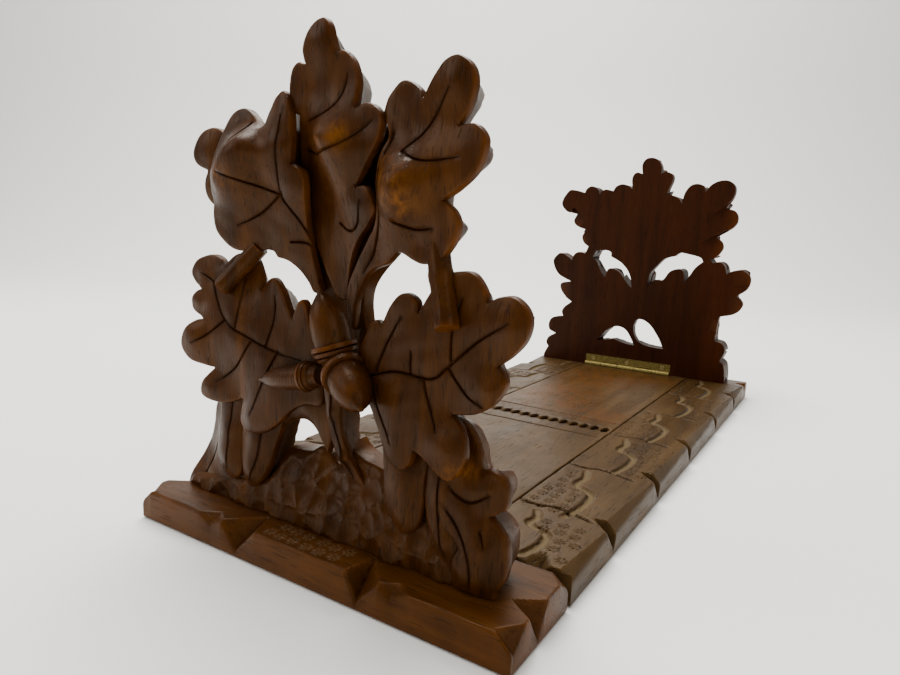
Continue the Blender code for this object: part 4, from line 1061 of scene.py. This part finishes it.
def carve_rail(side):
    """The carving of the left rail, side -1, or the right one, side 1."""
    def carve(p):
        q = np.c_[p[:, 0] * side, p[:, 1]]
        c = Carving(q, TOP, 30 + side)
        rng = np.random.default_rng(SEED + side)
        for n, (y0, y1) in enumerate(RAIL_BAYS):
            line = [(x, y0 + t * (y1 - y0)) for x, t in BAY_CURVE]
            half = 1.9
            c.groove(line, half, 1.3, 0.8)
            c.groove([(x - half, y) for x, y in line], 0.6, 0.3, -0.7)
            outer = n % 2 == 0
            for row in range(int((y1 - y0) / DAISY_ROW)):
                y = y0 + 4.5 + row * DAISY_ROW
                t = (y - y0) / (y1 - y0)
                edge = np.interp(t, [k for _, k in BAY_CURVE], [x for x, _ in BAY_CURVE])
                spots = np.arange(edge + 5.5, 80, DAISY_ROW) if outer else np.arange(edge - 6, 47, -DAISY_ROW)
                for x in spots[np.abs(spots - HALF_WIDE) > 5.5]:
                    dx, dy = rng.uniform(-0.6, 0.6), rng.uniform(-0.6, 0.6)
                    c.daisy(x + dx, y + dy, rng.uniform(0, 1), 0.95, -0.75)
        for y in CROSS_LINES:
            c.groove([(INSIDE, y + 1.5), (52, y - 0.5), (60, y + 2.0), (68, y), (78, y - 3)], 1.2, 0.9, -0.9)
        ends = [RAIL_START] + RAIL_CHIPS + [FAR_SEAM]
        for y0, y1 in zip(ends, ends[1:]):
            c.chamfer(HALF_WIDE, y0, y1, 4.6, 1.0)
        for y in RAIL_CHIPS:
            c.notch(HALF_WIDE, y, 0, 10, 9, 3.6, DEEP_CHIP, 0.15)
        c.notch(RAIL_START, 73, 1, 8, 8, 5, 5.5)
        for y in (118, 126, 134, 142):
            c.groove([(48, y), (51, y + 0.4)], 0.8, 0.4, -0.6)
        c.round_edge(0, HALF_WIDE, 1.1)
        c.round_edge(0, INSIDE, 0.6)
        c.round_edge(1, RAIL_START, 1.0)
        c.round_edge(1, FAR_SEAM, 0.4)
        return c.z, c.tone
    return carve


def carve_slat(p):
    """A strip of slanting beads with deep eyes painted dark as shade, between two grooves."""
    c = Carving(p, TOP, 40)
    for y in (-14, 19.5):
        c.groove([(-SLAT_HALF, y), (SLAT_HALF, y)], 0.9, 0.8, -1.0)
    lean, upright = 0.42, 0.87
    for n in range(BEADS):
        x = FIRST_BEAD + n * BEAD_STEP
        k = c.near(x - 5, x + 5, -6, 12)
        dx, dy = p[k, 0] - x, p[k, 1] - 3
        u = dx * upright - dy * lean
        v = dx * lean + dy * upright
        dish = np.clip(1 - (u / 2.3) ** 2 - (v / 5.2) ** 2, 0, 1)
        eye = np.clip(1 - ((dx - 0.8) / 2.3) ** 2 - ((p[k, 1] - 2.2) / 5.0) ** 2, 0, 1)
        c.z[k] -= 0.9 * np.sqrt(dish) + 3.5 * np.sqrt(eye)
        # Painted shade: the deep eye holes are coloured dark.
        c.tone[k] = np.where(eye > 0, -2.0, c.tone[k])
    c.recess(*SEAT_X, BARREL_Y, FAR_SEAM + 1, SEAT_FLOOR)
    c.round_edge(0, SLAT_HALF, 0.6)
    c.round_edge(0, -SLAT_HALF, 0.6)
    return c.z, c.tone


def carve_near(p):
    """Chips out of the front and the sides, and two rows of daisies between the front chips."""
    c = Carving(p, TOP, 50)
    rng = np.random.default_rng(SEED)
    for x, before, skew, small in ((-29, 9, 0.35, -43), (29, 5, -0.15, 43)):
        c.notch(FRONT, x, 1, 13, before, 10, DEEP_CHIP, skew)
        c.notch(FRONT, small, 1, 5.0, 8, 8, 3.5, 0.2)
    for row, y in enumerate((FRONT + 4.2, FRONT + 9.8)):
        for k in range(6):
            x = -15.5 + k * 6.2 + 2.4 * row
            c.daisy(x + rng.uniform(-0.5, 0.5), y + rng.uniform(-0.4, 0.4), rng.uniform(0, 1), 0.95)
    for side in (-1, 1):
        c.notch(side * HALF_WIDE, -188, 0, 9.5, 6.5, 6.5, DEEP_CHIP)
        c.notch(side * HALF_WIDE, FRONT + 1.5, 0, 6.5, 6, 8, 6)
        c.notch(side * HALF_WIDE, NEAR_SEAM, 0, 6.0, 7, 7, 4.5)
    c.recess(*SEAT_X, LEAF_Y, NEAR_SEAM + 1, SEAT_FLOOR)
    c.round_edge(1, FRONT, 1.3)
    c.round_edge(1, NEAR_SEAM, 0.9)
    c.round_edge(0, HALF_WIDE, 1.0)
    c.round_edge(0, -HALF_WIDE, 1.0)
    return c.z, c.tone


def carve_far(p):
    """Chips out of the back and the sides."""
    c = Carving(p, TOP, 60)
    for side in (-1, 1):
        c.notch(side * HALF_WIDE, 194, 0, 7, 5, 5, 6)
    for x in (-52, -18, 18, 52):
        c.notch(BACK, x, 1, 6, 6, 6, TOP - 5)
    c.round_edge(1, BACK, 1.1)
    c.round_edge(0, HALF_WIDE, 1.0)
    c.round_edge(0, -HALF_WIDE, 1.0)
    return c.z, c.tone


def buff(ob, spots):
    """Patches that years of books and hands have polished: x, y, half-width and half-length."""
    co = mesh_arrays(ob)[0] / MM
    worn = np.zeros(len(co))
    for x, y, rx, ry in spots:
        worn = np.maximum(worn, 1.1 * np.exp(-(((co[:, 0] - x) / rx) ** 2 + ((co[:, 1] - y) / ry) ** 2) ** 2))
    ob.data.attributes.remove(ob.data.attributes["polish"])
    store(ob, "polish", worn)


def with_edges(values, *edges):
    """Grid lines with a close pair added at each edge of a seat, so that its walls stand straight."""
    values = values[np.min(np.abs(values[:, None] - np.array(edges)[None]), 1) > 0.25]
    pairs = [e + d for e in edges for d in (-0.04, 0.04)]
    return np.sort(np.concatenate([values, pairs]))


def finish_board(ob, material, body, node):
    shade(ob, material, 30)
    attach(ob, body)
    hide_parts(node)


rail_xs = fine(INSIDE, HALF_WIDE, 0.5)
rail_ys = fine(RAIL_START, FAR_SEAM, 0.55)
for side, word in ((-1, "left"), (1, "right")):
    xs = rail_xs if side > 0 else -rail_xs[::-1]
    rail = board(f"{word}_rail_board", xs, rail_ys, 0, carve_rail(side))
    finish_board(rail, TOP_STAIN, "base", f"{word}_rail")

beads = np.arange(-15, 21, 0.35)
slat_ys = np.concatenate([np.arange(NEAR_SEAM, -15, 1.6), beads, np.arange(21, FAR_SEAM, 1.6), [FAR_SEAM]])
slat_xs = with_edges(fine(-SLAT_HALF, SLAT_HALF, 0.55), *SEAT_X)
slat_board = board("centre_slat_board", slat_xs, with_edges(slat_ys, BARREL_Y), SLAT_BASE, carve_slat)
buff(slat_board, [(-8, 140, 34, 46), (-14, 60, 30, 44), (26, 30, 22, 18), (20, 158, 26, 22)])
finish_board(slat_board, TOP_STAIN, "slide", "centre_slat")
near_xs = with_edges(fine(-HALF_WIDE, HALF_WIDE, 0.5), *SEAT_X)
near_ys = with_edges(fine(FRONT, NEAR_SEAM, 0.5), LEAF_Y)
near_board = board("near_foot_board", near_xs, near_ys, 0, carve_near)
finish_board(near_board, NEAR_STAIN, "slide", "near_end_board")
far_xs = fine(-HALF_WIDE, HALF_WIDE, 0.9)
far_board = board("far_foot_board", far_xs, fine(FAR_BOARD, BACK, 0.9), 0, carve_far)
finish_board(far_board, NEAR_STAIN, "base", "far_end_board")

slots = {s["node"]: s["material_slot"] for s in frame["record"]["subparts"]}
for name, node in frame["nodes"].items():
    if not node.hide_render:
        node.data.materials.clear()
        brass = SCREW_BRASS if "screw" in name else BRASS
        node.data.materials.append(STEEL if slots[name] == "screw_steel" else brass)


# ---------------------------------------------------------------- floor, light and camera
def sweep():
    """A pale sheet that lies flat and turns up behind the stand in one smooth bend."""
    bend, back, half, high = 0.5, 0.75, 2.6, 2.6
    turn = np.linspace(0, math.pi / 2, 17)
    path = [(-1.6, 0.0)] + [(back + bend * math.sin(t), bend - bend * math.cos(t)) for t in turn]
    path.append((back + bend, high))
    verts = [(x, y, z - 0.0003) for x in (-half, half) for y, z in path]
    n = len(path)
    ob = add_mesh("floor_sheet", verts, [(k, n + k, n + k + 1, k + 1) for k in range(n - 1)])
    paper = Finish("paper")
    paper.surface(Base_Color=(0.86, 0.86, 0.835), Roughness=0.75, Specular_IOR_Level=0.2)
    ob.data.materials.append(paper.material)
    ob.data.shade_smooth()
    ob.rotation_euler.z = math.radians(30)


def area_light(name, at, look, size, power, colour=(1, 1, 1)):
    light = bpy.data.lights.new(name, "AREA")
    light.shape = "RECTANGLE"
    light.size, light.size_y = size
    light.energy = power
    light.color = colour
    ob = add_object(name, light)
    ob.location = at
    ob.rotation_euler = (Vector(look) - Vector(at)).to_track_quat("-Z", "Y").to_euler()


sweep()
area_light("overhead", (-0.35, 0.25, 1.5), (0, 0, 0), (1.3, 1.1), 60, (1.0, 0.985, 0.96))
area_light("front_left", (-1.0, -1.1, 0.9), (0, -0.1, 0.08), (0.9, 0.9), 7.5)
area_light("right_fill", (1.2, -0.6, 0.7), (0, 0, 0.05), (0.9, 0.9), 5)

world = bpy.data.worlds.new("soft_room")
world.use_nodes = True
world.node_tree.nodes["Background"].inputs["Color"].default_value = (1.0, 0.95, 0.87, 1)
world.node_tree.nodes["Background"].inputs["Strength"].default_value = 0.36
bpy.context.scene.world = world

# The camera: its place in metres, and how it is turned to the left, tilted up and rolled.
CAMERA_AT = (0.15562, -0.35658, 0.12369)
TURN, TILT, ROLL = math.radians(32.09), math.radians(-9.45), math.radians(2.47)
look = Vector((-math.sin(TURN) * math.cos(TILT), math.cos(TURN) * math.cos(TILT), math.sin(TILT)))
level = Vector((math.cos(TURN), math.sin(TURN), 0))
rise = level.cross(look)
across = level * math.cos(ROLL) + rise * math.sin(ROLL)
upward = rise * math.cos(ROLL) - level * math.sin(ROLL)
camera = add_object("camera", bpy.data.cameras.new("camera"))
camera.data.lens = 26.16
camera.data.clip_start = 0.01
camera.matrix_world = Matrix.Translation(CAMERA_AT) @ Matrix((across, upward, -look)).transposed().to_4x4()
bpy.context.scene.camera = camera
